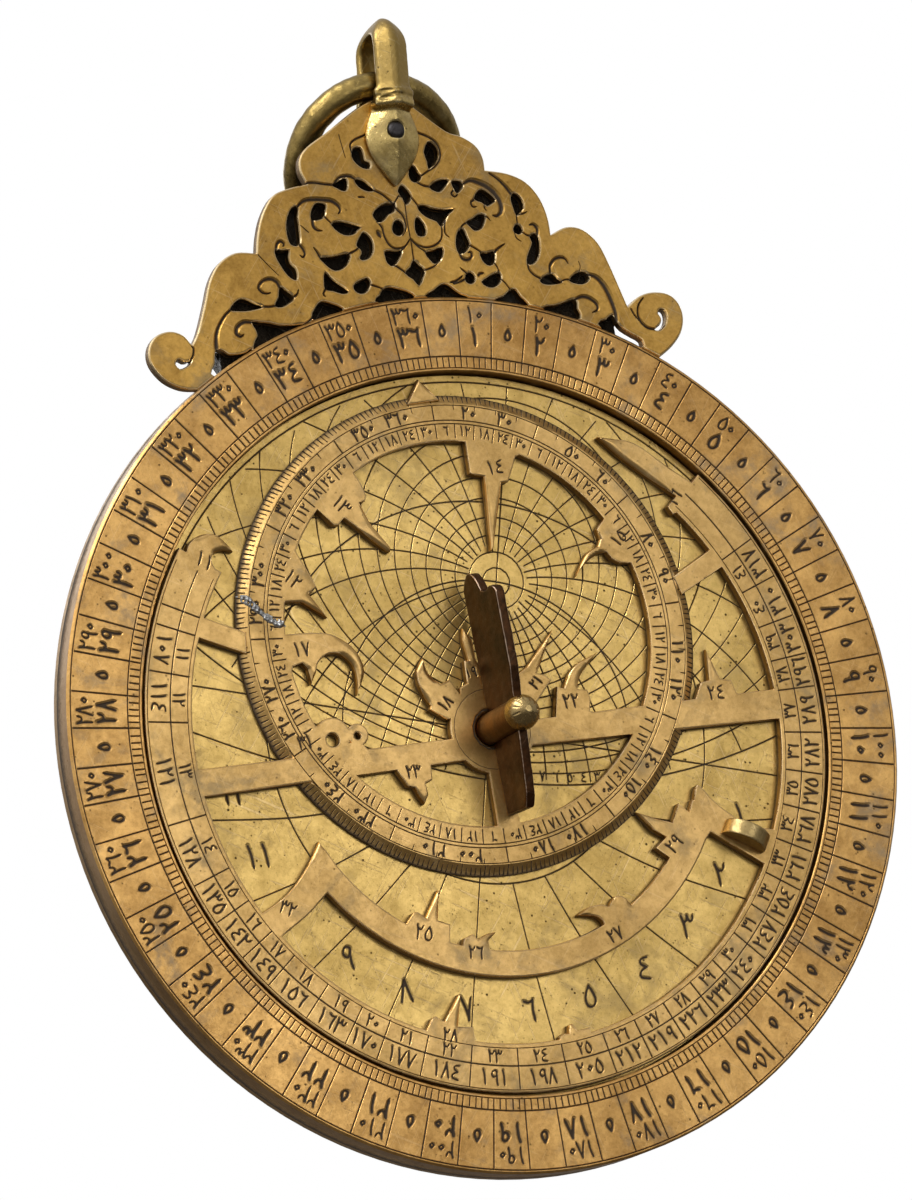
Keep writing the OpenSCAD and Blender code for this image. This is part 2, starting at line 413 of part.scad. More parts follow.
// wedge on edge with a horse's head; its step stops it against the pin
module horse() color("#5a3a22") upright() rotate(horse_turn) translate([horse_x - horse_t / 2, 0, 0])
    rotate([90, 0, 90]) linear_extrude(horse_t) polygon(concat([[23.8, horse_z], [25.4, 1]],
        curve([[26.1, 2.4], [25.7, 4.2], [24, 5.9], [22.2, 6.9]]), curve([[22.2, 6.9], [21.8, 8.6],
            [22.3, 10.2],
        [21.9, 11.8], [20.9, horse_h]]), [[20.9, horse_h], [8, horse_h - 0.3], [pin_r + 1.1, horse_h - 1.3],
        [pin_r + 0.1, horse_h - 1.4], [pin_r + 0.1, horse_h - 1.7], [-4, horse_h - 2.2],
        [-12.9, horse_h - 3.8], [-15.2, horse_h - 5.2],
        [-14.9, horse_z]]));

// Shackle: two ridged leaves astride the throne, each with a collar of two rolls, joined by an arch
function leaf_edge() = curve([[-3.5, 4.1], [-4.2, 2.4], [-4.8, 0.4], [-4.95, -1.3], [-4.3, -3.8],
    [-2.8, -6.2], [-1, -8.6], [0, -9.5]]);
module along(y, n) translate([0, y, 0]) rotate([-90, 0, 0]) linear_extrude(n) mirror([0, 1]) children();
module leaf() hull() {
    linear_extrude(0.8) polygon(concat(leaf_edge(), back_to_front([for (p = leaf_edge()) [-p[0], p[1]]])));
    translate([-0.25, -1.6, 0]) cube([0.5, 5.6, leaf_rise]);
    translate([-0.12, -8.7, 0]) cube([0.24, 0.3, 1.3]);
}
module roll(y, n, z0) hull() {
    along(y, n) polygon([[-3.2, z0], [-3.2, 4.4], [0, 6.1], [3.2, 4.4], [3.2, z0]]);
    along(y + 0.4, n - 0.8) polygon([[-3.6, z0], [-3.6, 4.7], [-0.5, 6.6], [0.5, 6.6], [3.6, 4.7],
        [3.6, z0]]);
}
module shackle() color("#b5924f") upright() translate([rivet_at[0], rivet_at[1],
    mid_z]) rotate(shackle_turn)
    difference() {
        union() {
            for (s = [0, 1]) mirror([0, 0, s]) {
                translate([0, 0, throne_all / 2 + lift]) leaf();
                roll(3.8, 1.9, throne_all / 2 + lift);
                roll(5.6, 1.8, leg_in);
                along(7.2, 7.5) translate([0, leg_in + 1.2]) leg_section();
            }
            // bend of the arch, drawn in to a point when seen from the front
            intersection() {
                translate([0, 14.7, 0]) rotate([90, 0, 90]) rotate([0, 0, -90])
                    rotate_extrude(angle = 180, $fn = 96) translate([leg_in + 1.2,
                        0]) rotate(-90) leg_section();
                translate([0, 0, -12]) linear_extrude(24) polygon(concat([[-3.2, 10]],
                    curve([[-3.2, 14.5], [-2.7, 17.3], [-1.5, 19.5], [0, 21.1]]),
                    curve([[0, 21.1], [1.5, 19.5], [2.7, 17.3], [3.2, 14.5]]), [[3.2, 10]]));
            }
        }
        translate([0, 0, -20]) cylinder(h = 40, r = rivet_d / 2);
    }
// across the strap: flat inside, ridged outside
module leg_section() polygon([[-3, -0.7], [-2.5, -1.2], [2.5, -1.2], [3, -0.7], [3, 0.2], [0.4, 1.75],
    [-0.4, 1.75],
    [-3, 0.2]]);
module shackle_rivet() color("#4a4a4c") upright() translate([rivet_at[0], rivet_at[1], mid_z])
    for (s = [0, 1]) mirror([0, 0, s]) {
        cylinder(h = throne_all / 2 + lift + leaf_rise - 0.5, r = rivet_d / 2);
        translate([0, 0, throne_all / 2 + lift + leaf_rise - 0.5]) cylinder(h = 0.35, r1 = rivet_d / 2,
            r2 = rivet_d / 2 - 0.5);
    }
// it lies back behind the throne; its wire passes through the arch
module suspension_ring() color("#a58446") upright() translate(ring_at) rotate([ring_tilt, 0, 0])
    translate([0, -ring_r, 0]) rotate_extrude($fn = 120) translate([ring_r, 0]) circle(wire_d / 2,
        $fn = 40);

// Sighting rule on the back: each arm keeps its straight edge on the middle line
module alidade() color("#c39e57") upright() slab(rule_z, rule_z + rule_t) difference() {
    union() {
        circle(9.5);
        for (s = [0, 180]) rotate(s) polygon(concat([[0, 0]], [[rule_l / 2, 0]], [[rule_l / 2 - 7, 6.5]],
            curve([[rule_l / 2 - 12, 7.6], [rule_l / 2 - 20, 8.6], [20, 9], [8, 5]]), [[0, 5]]));
    }
    circle(bore_r);
    for (s = [0, 180]) rotate(s) for (y = [2.4, 6.6]) translate([rule_l * 0.33, y]) circle(0.8);
}
module vane() translate([rule_l * 0.33, 0, rule_z]) {
    difference() {
        rotate([90, 0, 90]) translate([0, 0, -0.8]) linear_extrude(1.6) difference() {
            polygon([[0, 0], [9, 0], [9, -vane_h + 3], [6.5, -vane_h], [2.5, -vane_h], [0, -vane_h + 3]]);
            translate([4.5, -vane_h + 3.4]) circle(1.1, $fn = 40);
            translate([4.5, -3.6]) circle(0.6, $fn = 40);
        }
        for (y = [2.4, 6.6]) translate([0, y, -2.2]) cylinder(h = 3, r = 0.5, $fn = 40);
    }
}
module vane_left() color("#b98f4e") upright() rotate(180) vane();
module vane_right() color("#b98f4e") upright() vane();
module vane_rivets() color("#a87848") upright() for (s = [0, 180]) rotate(s) for (y = [2.4, 6.6])
    translate([rule_l * 0.33, y, rule_z - 2.2]) {
        cylinder(h = 2.2, r = 0.5, $fn = 40);
        translate([0, 0, 2.2]) cylinder(h = rule_t, r = 0.8, $fn = 40);
    }
module pin_washer() color("#c39e57") upright() slab(washer_z, washer_z + washer_t) difference() {
    circle(6);
    circle(bore_r);
}

mater_back();
limb_ring();
limb_rivets();
throne();
throne_ground();
throne_dowels();
tympan_front();
tympan_middle();
tympan_rear();
rete();
ecliptic_repair();
rete_knob();
pin();
pin_cap();
horse();
shackle();
shackle_rivet();
suspension_ring();
alidade();
vane_left();
vane_right();
vane_rivets();
pin_washer();
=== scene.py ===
import math
import bpy
import numpy as np
from mathutils import Matrix, Vector, geometry


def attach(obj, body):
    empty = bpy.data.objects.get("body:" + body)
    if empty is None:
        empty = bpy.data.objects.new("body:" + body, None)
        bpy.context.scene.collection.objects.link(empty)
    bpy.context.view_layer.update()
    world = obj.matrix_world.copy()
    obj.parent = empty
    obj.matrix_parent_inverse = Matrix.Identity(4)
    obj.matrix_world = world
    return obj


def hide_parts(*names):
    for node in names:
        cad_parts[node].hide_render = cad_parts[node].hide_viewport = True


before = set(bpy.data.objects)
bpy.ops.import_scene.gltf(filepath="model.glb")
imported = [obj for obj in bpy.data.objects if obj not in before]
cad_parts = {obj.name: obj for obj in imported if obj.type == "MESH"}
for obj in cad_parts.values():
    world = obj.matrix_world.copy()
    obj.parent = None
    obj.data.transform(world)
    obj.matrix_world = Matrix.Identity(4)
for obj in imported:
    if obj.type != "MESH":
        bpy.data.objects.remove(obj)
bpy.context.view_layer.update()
jitter = np.random.default_rng(11)
print("frame loaded")


# Places are worked out in disc millimetres: x right, y towards the throne, z out of the engraved face

def toRow(p):  # disc millimetres to the model's metres
    p = np.asarray(p, float)
    return np.stack([p[..., 0], -p[..., 2], p[..., 1]], -1) / 1000


def toDisc(p):  # the model's metres to disc millimetres
    p = np.asarray(p, float) * 1000
    return np.stack([p[..., 0], p[..., 2], -p[..., 1]], -1)


def turn(points, degrees):  # points turned anticlockwise about the origin
    a = math.radians(degrees)
    return np.asarray(points, float) @ np.array([[math.cos(a), math.sin(a)], [-math.sin(a), math.cos(a)]])


def polar(radius, degrees, centre=(0, 0)):
    a = math.radians(degrees)
    return np.array([centre[0] + radius * math.cos(a), centre[1] + radius * math.sin(a)])


def spoke(radii, degrees, centre=(0, 0)):  # points along one radius
    return [polar(r, degrees, centre) for r in radii]


def arcPoints(radius, start, end, step=1.6):  # evenly spaced points of an arc round the pin, in degrees
    n = max(2, int(math.ceil(abs(math.radians(end - start)) * radius / step)) + 1)
    a = np.radians(np.linspace(start, end, n))
    return radius * np.stack([np.cos(a), np.sin(a)], -1)


def softLine(points, steps):  # Catmull-Rom cubic through the points, each span cut into steps
    p = np.asarray(points, float)
    k = np.arange(len(p) - 1)
    a, b, c, d = (p[i][:, None] for i in (np.maximum(k - 1, 0), k, k + 1, np.minimum(k + 2, len(p) - 1)))
    t = (np.arange(steps) / steps)[None, :, None]
    q = 0.5 * (2 * b + (c - a) * t + (2 * a - 5 * b + 4 * c - d) * t ** 2 + (3 * b - a - 3 * c + d) * t ** 3)
    return np.concatenate([q.reshape(-1, 2), p[-1:]])


# Engraved lines: each is (centre line, half widths along it, depth, closed)

def cutLine(cuts, points, width, depth, closed=False):
    p = np.asarray(points, float)
    cuts.append((p, np.broadcast_to(np.asarray(width, float) / 2, len(p)).copy(), depth, closed))


def cutRing(cuts, centre, radius, width, depth, step=1.6):
    n = int(2 * math.pi * radius / step)
    a = np.arange(n) / n * 2 * math.pi
    cutLine(cuts, np.asarray(centre) + radius * np.stack([np.cos(a), np.sin(a)], -1), width, depth, True)


# Plain numerals, each a few strokes in a box one high and 0.6 wide, and the slanted pen that cuts them
numeralStrokes = {
    "0": [[(0.3, 0.62), (0.42, 0.5), (0.3, 0.36), (0.18, 0.48), (0.3, 0.62)]],
    "1": [[(0.2, 1.0), (0.3, 0.6), (0.34, 0.0)]],
    "2": [[(0.1, 1.0), (0.2, 0.55), (0.22, 0.0)], [(0.12, 0.98), (0.22, 0.74), (0.44, 0.72), (0.54, 1.0)]],
    "3": [[(0.04, 1.0), (0.14, 0.55), (0.16, 0.0)], [(0.05, 0.98), (0.14, 0.74), (0.27, 0.76), (0.33, 0.98)],
          [(0.33, 0.98), (0.41, 0.74), (0.55, 0.76), (0.6, 1.0)]],
    "4": [[(0.55, 0.98), (0.25, 0.9), (0.22, 0.7), (0.47, 0.55)],
          [(0.47, 0.55), (0.18, 0.4), (0.14, 0.14), (0.56, 0.04)]],
    "5": [[(0.32, 0.98), (0.1, 0.5), (0.16, 0.12), (0.42, 0.1), (0.54, 0.42), (0.32, 0.98)]],
    "6": [[(0.06, 0.92), (0.28, 0.84), (0.48, 0.94)], [(0.48, 0.94), (0.42, 0.5), (0.46, 0.0)]],
    "7": [[(0.06, 1.0), (0.22, 0.5), (0.3, 0.02)], [(0.3, 0.02), (0.4, 0.5), (0.56, 1.0)]],
    "8": [[(0.06, 0.0), (0.2, 0.5), (0.3, 0.98)], [(0.3, 0.98), (0.42, 0.5), (0.56, 0.0)]],
    "9": [[(0.46, 0.66), (0.28, 0.52), (0.14, 0.7), (0.26, 0.94), (0.46, 0.9), (0.46, 0.66)],
          [(0.46, 0.7), (0.47, 0.3), (0.54, 0.0)]],
}
pen = {"slant": 40, "thin": 0.62, "swell": 0.5, "tail": 0.55, "sway": 0.012}


def cutNumber(cuts, value, at, up, height, weight, depth, gap=0.62):
    # the number is centred on a point, its top towards the angle up
    text = str(value)
    for k, sign in enumerate(text):
        for path in numeralStrokes[sign]:
            p = softLine(path, 3) + jitter.normal(0, pen["sway"], 2)
            p[:, 0] += (k - len(text) / 2) * gap
            d = np.gradient(p, axis=0)
            lean = np.abs(np.sin(np.arctan2(d[:, 1], d[:, 0]) - math.radians(pen["slant"])))
            width = weight * (pen["thin"] + pen["swell"] * lean)
            width[-1] *= pen["tail"]
            p = turn((p - (0, 0.5)) * height, up - 90) + at
            cutLine(cuts, p, width, depth)


def cutOnCircle(cuts, value, shape, degrees, up, centre=(0, 0)):
    # a number at its angle on a circle, its shape being (radius, height, weight, depth, gap)
    cutNumber(cuts, value, polar(shape[0], degrees, centre), up, *shape[1:])


def strokeOutline(p, half, closed):  # lines at the half width on both sides of a centre line
    if closed:
        d = np.roll(p, -1, 0) - np.roll(p, 1, 0)
    else:
        d = np.gradient(p, axis=0)
    d /= np.maximum(np.linalg.norm(d, axis=1, keepdims=True), 1e-9)
    n = np.stack([-d[:, 1], d[:, 0]], -1) * half[:, None]
    return p + n, p - n


def grooveShare(points, segA, segB, halfA, halfB):
    # for each point, the largest of 1 - distance / half width over all the segments, stretched to start from
    # 0 past a narrow lip, and which segment it belongs to. Points are sought by square cells.
    share = np.zeros(len(points))
    which = np.full(len(points), -1)
    if len(segA) == 0 or len(points) == 0:
        return share, which
    size, row, lip = 1.5, 4096, 0.08
    low = points.min(0) - 1
    reach = np.maximum(halfA, halfB)[:, None]
    c0 = np.floor((np.minimum(segA, segB) - reach - low) / size).astype(int)
    c1 = np.floor((np.maximum(segA, segB) + reach - low) / size).astype(int)
    cells = {}
    for k in range(len(segA)):
        for i in range(c0[k, 0], c1[k, 0] + 1):
            for j in range(c0[k, 1], c1[k, 1] + 1):
                cells.setdefault(i * row + j, []).append(k)
    pc = np.floor((points - low) / size).astype(int)
    key = pc[:, 0] * row + pc[:, 1]
    order = np.argsort(key, kind="stable")
    starts = np.flatnonzero(np.diff(key[order], prepend=key[order[0]] - 1))
    for s, e in zip(starts, np.append(starts[1:], len(order))):
        near = cells.get(int(key[order[s]]))
        if near is None:
            continue
        own, near = order[s:e], np.array(near)
        a, ab = segA[near], segB[near] - segA[near]
        t = ((points[own][:, None] - a) * ab).sum(-1) / np.maximum((ab ** 2).sum(-1), 1e-12)
        t = np.clip(t, 0, 1)
        far = np.linalg.norm(points[own][:, None] - a - t[..., None] * ab, axis=-1)
        value = 1 - far / (halfA[near] + t * (halfB[near] - halfA[near]))
        best = value.argmax(1)
        rows = np.arange(len(own))
        share[own] = np.clip((value[rows, best] - lip) / (1 - lip), 0, 1)
        which[own] = near[best]
    return share, which


def insideOutline(points, a, b):  # even-odd test against outline edges a-b
    order = np.argsort(points[:, 1])
    py, px = points[order, 1], points[order, 0]
    odd = np.zeros(len(points), bool)
    y0, y1 = np.minimum(a[:, 1], b[:, 1]), np.maximum(a[:, 1], b[:, 1])
    first, last = np.searchsorted(py, y0), np.searchsorted(py, y1)
    for k in np.flatnonzero(last > first):
        s = slice(first[k], last[k])
        cross = a[k, 0] + (py[s] - a[k, 1]) / (b[k, 1] - a[k, 1]) * (b[k, 0] - a[k, 0])
        odd[s] ^= px[s] < cross
    out = np.zeros(len(points), bool)
    out[order] = odd
    return out


def weldedNode(name):  # a CAD node's points in disc millimetres and its triangles, doubles merged
    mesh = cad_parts[name].data
    mesh.calc_loop_triangles()
    co = np.zeros(len(mesh.vertices) * 3)
    mesh.vertices.foreach_get("co", co)
    tri = np.zeros(len(mesh.loop_triangles) * 3, np.int32)
    mesh.loop_triangles.foreach_get("vertices", tri)
    co = toDisc(co.reshape(-1, 3))
    _, first, back = np.unique(np.round(co, 3), axis=0, return_index=True, return_inverse=True)
    tri = back.reshape(-1)[tri].reshape(-1, 3)
    keep = (tri[:, 0] != tri[:, 1]) & (tri[:, 1] != tri[:, 2]) & (tri[:, 0] != tri[:, 2])
    return co[first], tri[keep]


def faceNormals(co, tri):
    n = np.cross(co[tri[:, 1]] - co[tri[:, 0]], co[tri[:, 2]] - co[tri[:, 0]])
    return n / np.maximum(np.linalg.norm(n, axis=1, keepdims=True), 1e-12)


def outlineEdges(tri, mask, co):
    # directed border edges of the masked faces, and which of them drop to a steep wall
    count = len(co)
    e = np.concatenate([tri[:, [0, 1]], tri[:, [1, 2]], tri[:, [2, 0]]])
    key = np.minimum(e[:, 0], e[:, 1]).astype(np.int64) * count + np.maximum(e[:, 0], e[:, 1])
    owner = np.tile(np.arange(len(tri)), 3)
    own = mask[owner]
    values, times = np.unique(key[own], return_counts=True)
    border = own & np.isin(key, values[times == 1])
    other = ~own
    order = np.argsort(key[other])
    sortedKey, sortedOwner = key[other][order], owner[other][order]
    edges, edgeKey = e[border], key[border]
    spot = np.clip(np.searchsorted(sortedKey, edgeKey), 0, max(len(sortedKey) - 1, 0))
    middle = co[tri].mean(1)[:, 2]
    edgeZ = co[edges].mean(1)[:, 2]
    steep = np.abs(faceNormals(co, tri)[:, 2]) < 0.5
    below = sortedOwner[spot]
    falls = (sortedKey[spot] == edgeKey) & (middle[below] < edgeZ - 0.02) & steep[below]
    return edges, falls


# A star pointer's tip: its rounded edge is wider and deeper, which makes it a horn, and less rubbed
horn = {"fade": 0.5, "grid": 0.26, "wider": 2.4, "deep": 0.72, "dull": 0.6}


def tipBlend(points, tips):  # 1 inside the capsule round a pointer's axis, falling to 0 at the capsule's skin
    blend = np.zeros(len(points))
    for ax, ay, bx, by, radius in tips:
        a, ab = np.array([ax, ay]), np.array([bx - ax, by - ay])
        t = np.clip(((points - a) @ ab) / (ab @ ab), 0, 1)
        inside = radius - np.linalg.norm(points - a - t[:, None] * ab, axis=1)
        blend = np.maximum(blend, np.clip(inside / horn["fade"], 0, 1))
    return blend


def tipGrid(tips):  # fine grid points inside the capsules
    grid, step = [], horn["grid"]
    for ax, ay, bx, by, radius in tips:
        x = np.arange(min(ax, bx) - radius, max(ax, bx) + radius, step)
        y = np.arange(min(ay, by) - radius, max(ay, by) + radius, step)
        g = np.stack(np.meshgrid(x, y), -1).reshape(-1, 2)
        grid.append(g[tipBlend(g, [(ax, ay, bx, by, radius)]) > 0])
    return np.concatenate(grid)


def rimRows(flat, border, falls, width):  # two rows of points inside the falling edges
    a, b = flat[border[:, 0]], flat[border[:, 1]]
    direction = (b - a) / np.maximum(np.linalg.norm(b - a, axis=1, keepdims=True), 1e-9)
    inward = np.stack([-direction[:, 1], direction[:, 0]], -1)
    sumIn, share = np.zeros_like(flat), np.zeros((len(flat), 1))
    for k in (0, 1):
        np.add.at(sumIn, border[falls, k], inward[falls])
        np.add.at(share, border[falls, k], 1)
    sumIn /= np.maximum(share, 1)
    length = np.maximum(np.linalg.norm(sumIn, axis=1, keepdims=True), 0.25)
    step = sumIn / length * np.minimum(1 / length, 2)
    return [flat + step * width * part for part in (0.4, 1)]


def openGroove(p, half):  # an open line, shortened a little, and its outline with rounded ends
    left, right = strokeOutline(p, half, False)
    centre = p.copy()
    centre[0] += (p[1] - p[0]) / max(np.linalg.norm(p[1] - p[0]), 1e-9) * half[0] * 0.5
    centre[-1] += (p[-2] - p[-1]) / max(np.linalg.norm(p[-2] - p[-1]), 1e-9) * half[-1] * 0.5
    ends = []
    for at, spread, side in ((p[-1], half[-1], left[-1] - p[-1]), (p[0], half[0], right[0] - p[0])):
        side = side / max(spread, 1e-9)
        ends.append([at + spread * turn([side], -45 * step)[0] for step in (1, 2, 3)])
    return centre, np.concatenate([left, ends[0], right[::-1], ends[1]])


def cutRegion(co, tri, mask, cuts, rim, height=None, tips=()):
    # the masked faces, seen from the front, are triangulated again round the grooves. A point is sunk by its
    # groove's depth times the share of the half width left to the nearest centre line, and by the rim's depth
    # times the share of the rim's width left to the nearest outer edge. Returned are the flat points, the
    # triangles, the heights, the shares of groove and rim, and each point's old number or -1.
    edges, falls = outlineEdges(tri, mask, co)
    used, border = np.unique(edges, return_inverse=True)
    border = border.reshape(-1, 2)
    flat = co[used, :2]
    a, b = flat[border[:, 0]], flat[border[:, 1]]
    pts, con = [], []

    def add(line, pairs):
        con.append(pairs + sum(len(v) for v in pts))
        pts.append(line)

    def addChain(line, closed):
        k = np.arange(len(line) if closed else len(line) - 1)
        add(line, np.stack([k, (k + 1) % len(line)], -1))

    add(flat, border)
    if rim:
        for row in rimRows(flat, border, falls, rim[0]):
            add(row, border[falls])
    for p, half, depth, closed in cuts:
        if closed:
            for line in (p, *strokeOutline(p, half, True)):
                addChain(line, True)
        else:
            centre, outline = openGroove(p, half)
            addChain(centre, False)
            addChain(outline, True)
    if tips:
        pts.append(tipGrid(tips))
    pts, con = np.concatenate(pts), np.concatenate(con)
    out = geometry.delaunay_2d_cdt([Vector(v) for v in pts.tolist()], con.tolist(), [], 0, 1e-5, True)
    flatOut = np.array([v[:] for v in out[0]], float)
    triOut = np.array([f for f in out[2] if len(f) == 3], np.int64)
    origin = np.array([min((i for i in o if i < len(used)), default=-1) for o in out[3]], np.int64)
    triOut = triOut[insideOutline(flatOut[triOut].mean(1), a, b)]
    p0, p1, p2 = (flatOut[triOut[:, k]] for k in range(3))
    area = np.cross(p1 - p0, p2 - p0)
    triOut[area < 0] = triOut[area < 0][:, ::-1]
    triOut = triOut[np.abs(area) > 1e-9]
    rows = []
    for p, half, depth, closed in cuts:
        if closed:
            p, half = np.concatenate([p, p[:1]]), np.append(half, half[0])
        rows.append(np.column_stack([p[:-1], p[1:], half[:-1], half[1:], np.full(len(p) - 1, depth)]))
    rows = np.concatenate(rows)
    cut, which = grooveShare(flatOut, rows[:, :2], rows[:, 2:4], rows[:, 4], rows[:, 5])
    sink = cut * np.where(which >= 0, rows[which, 6], 0)
    edge = np.zeros(len(flatOut))
    if rim:  # a quarter-round edge
        wa, wb = (rim[0] * (1 + horn["wider"] * tipBlend(v[falls], tips)) for v in (a, b))
        edge, _ = grooveShare(flatOut, a[falls], b[falls], wa, wb)
        tip = tipBlend(flatOut, tips)
        deep = rim[1] + (horn["deep"] - rim[1]) * tip
        sink = np.maximum(sink, deep * (1 - np.sqrt(1 - edge ** 2)))
        edge = edge * (1 - horn["dull"] * tip)
    z = height(flatOut) if height else np.full(len(flatOut), co[used, 2].max())
    return flatOut, triOut, z - sink, cut, edge, np.where(origin >= 0, used[np.clip(origin, 0, None)], -1)


def engravedPiece(node, name, regions, side=0.8, behind=False):
    # a CAD node's shape with its front (or back) cut: all other faces stay as they are, their walls painted
    # darker by side, a painted shade. A region's foot shade gives how deep and how strongly walls are painted
    # darker towards their foot, a painted shade, and its darkening is a formula of the place.
    co, tri = weldedNode(node)
    if behind:
        co = co * (-1, 1, -1)
    normals = faceNormals(co, tri)
    middle = co[tri].mean(1)
    kept = np.ones(len(tri), bool)
    allCo, allTri, plain = [co], [], []
    cutV, edgeV = [np.zeros(len(co))], [np.zeros(len(co))]
    total = len(co)
    moved = co.copy()
    for region in regions:
        mask = region["pick"](normals, middle)
        kept &= ~mask
        flat, faces, z, cut, edge, old = cutRegion(co, tri, mask, region["cuts"], region.get("rim"),
                                                   region.get("height"), region.get("tips", ()))
        if "dirt" in region:
            cut = np.maximum(cut, region["dirt"](flat))
        new = np.arange(len(flat)) + total
        has = old >= 0
        # points below the front are painted darker towards the walls' foot, a painted shade
        if "wall" in region:
            reach, amount = region["wall"]
            depth = np.clip((z.max() - co[:, 2]) / reach, 0, 1)
            cutV[0] = np.maximum(cutV[0], np.where(depth > 0.2, depth * amount, 0))
        moved[old[has], 2] = np.minimum(moved[old[has], 2], z[has])
        cutV[0][old[has]] = np.maximum(cutV[0][old[has]], cut[has])
        edgeV[0][old[has]] = np.maximum(edgeV[0][old[has]], edge[has])
        index = np.where(has, old, new)
        allCo.append(np.column_stack([flat, z]))
        cutV.append(cut)
        edgeV.append(edge)
        allTri.append(index[faces])
        plain.append(((cut[faces] < 0.01) & (edge[faces] < 0.01)).all(1))
        total += len(flat)
    allCo[0] = moved
    co = np.concatenate(allCo)
    flatFaces = np.concatenate([np.zeros(kept.sum(), bool)] + plain)
    # steep kept faces get side as their painted shade
    paintedWallShade = np.concatenate([side * (np.abs(normals[kept, 2]) < 0.5)] + [np.zeros(len(f)) for f in plain])
    tri = np.concatenate([tri[kept]] + allTri)
    used, back = np.unique(tri, return_inverse=True)
    if behind:
        co = co * (-1, 1, -1)
    shares = {"cut": np.concatenate(cutV)[used], "rim": np.concatenate(edgeV)[used]}
    return meshPiece(name, co[used], back.reshape(-1, 3), shares, 24, flatFaces, paintedWallShade)


def meshPiece(name, co, faces, values=None, smoothAngle=30, flatFaces=None, paintedWallShade=None):
    mesh = bpy.data.meshes.new(name)
    faces = np.asarray(faces)
    mesh.vertices.add(len(co))
    mesh.vertices.foreach_set("co", toRow(co).ravel())
    mesh.loops.add(faces.size)
    mesh.loops.foreach_set("vertex_index", faces.ravel().astype(np.int32))
    mesh.polygons.add(len(faces))
    mesh.polygons.foreach_set("loop_start", (np.arange(len(faces)) * faces.shape[1]).astype(np.int32))
    mesh.update(calc_edges=True)
    for key, value in (values or {}).items():
        mesh.attributes.new(key, "FLOAT", "POINT").data.foreach_set("value", np.asarray(value, np.float32))
    # the face share side is the painted shade of the walls
    if paintedWallShade is not None:
        mesh.attributes.new("side", "FLOAT", "FACE").data.foreach_set("value", paintedWallShade.astype(np.float32))
    mesh.shade_smooth()
    mesh.set_sharp_from_angle(angle=math.radians(smoothAngle))
    if flatFaces is not None:
        mesh.polygons.foreach_set("use_smooth", ~flatFaces)
    mesh.validate()
    piece = bpy.data.objects.new(name, mesh)
    bpy.context.scene.collection.objects.link(piece)
    print(name, len(mesh.polygons), "faces")
    return piece


def castPiece(node, name, size, rounds, lumps, wearAndSheen, dents, seed):
    # a CAD node's shape laid on a fine grid and smoothed, so that its edges are worn round. "rim" is how far
    # a point was worn down, times the edge factor, and gives the pale edges, wear and a painted highlight;
    # "cut" is how far a corner was filled. Lumps are nine waves along the normal, dents are shallow ovals
    # pressed in
    # from the front: (x, y, half length, half width, angle, depth)
    co, tri = weldedNode(node)
    low, high = co.min(0), co.max(0)
    source = meshPiece(name + "Source", co, tri)
    grid = source.modifiers.new("grid", "REMESH")
    grid.mode, grid.voxel_size = "VOXEL", size / 1000
    mesh = source.evaluated_get(bpy.context.evaluated_depsgraph_get()).to_mesh()
    mesh.calc_loop_triangles()
    start, tri = np.zeros(len(mesh.vertices) * 3), np.zeros(len(mesh.loop_triangles) * 3, np.int32)
    edges = np.zeros(len(mesh.edges) * 2, np.int32)
    mesh.vertices.foreach_get("co", start)
    mesh.loop_triangles.foreach_get("vertices", tri)
    mesh.edges.foreach_get("vertices", edges)
    bpy.data.objects.remove(source)
    start, tri, edges = toDisc(start.reshape(-1, 3)), tri.reshape(-1, 3), edges.reshape(-1, 2)
    n = len(start)
    a, b = edges.T
    count = np.bincount(edges.ravel(), minlength=n)[:, None]

    def spread(v):
        total = [np.bincount(a, v[b, k], n) + np.bincount(b, v[a, k], n) for k in range(3)]
        return np.stack(total, -1) / count

    co = start.copy()
    for _ in range(rounds):
        co += 0.5 * (spread(co) - co)
    face = faceNormals(co, tri)
    normal = np.stack([np.bincount(tri.ravel(), np.repeat(face[:, k], 3), n) for k in range(3)], -1)
    normal /= np.maximum(np.linalg.norm(normal, axis=1, keepdims=True), 1e-9)
    worn = ((start - co) * normal).sum(1) / (0.45 * size * math.sqrt(rounds))
    if lumps:
        draw = np.random.default_rng(seed)
        wave = draw.normal(0, 1, (9, 3)) * 0.8 * np.linspace(0.7, 2.6, 9)[:, None]
        co += normal * (np.sin(co @ wave.T + draw.uniform(0, 6, 9)).sum(1) / 9 * lumps)[:, None]
    for x, y, length, width, angle, depth in dents:
        q = turn(co[:, :2] - (x, y), -angle) / (length, width)
        co[:, 2] -= np.where(normal[:, 2] > 0.15, depth * np.clip(1 - (q ** 2).sum(1), 0, 1), 0)
    co = np.clip(co, low, high)
    shares = {"rim": np.clip(wearAndSheen * (worn - 0.12), 0, 1), "cut": np.clip(-worn * 0.9 - 0.1, 0, 1)}
    return meshPiece(name, co, tri, shares, 70)


def place(piece, body, node, slot, material):
    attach(piece, body)
    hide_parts(node)
    piece.data.materials.append(material)


# Finishes: one shared group for old worn metal, placed in each material with its own values

def addNode(tree, kind, values=None, links=None, **settings):
    n = tree.nodes.new(kind)
    for key, value in settings.items():
        setattr(n, key, value)
    for key, value in (values or {}).items():
        n.inputs[key].default_value = value
    for key, source in (links or {}).items():
        tree.links.new(source, n.inputs[key])
    return n


def mixColours(tree, share, a, b):
    n = addNode(tree, "ShaderNodeMix", data_type="RGBA", clamp_factor=True)
    for socket, value in ((n.inputs[0], share), (n.inputs[6], a), (n.inputs[7], b)):
        if isinstance(value, (int, float, tuple)):
            socket.default_value = value
        else:
            tree.links.new(value, socket)
    return n.outputs[2]


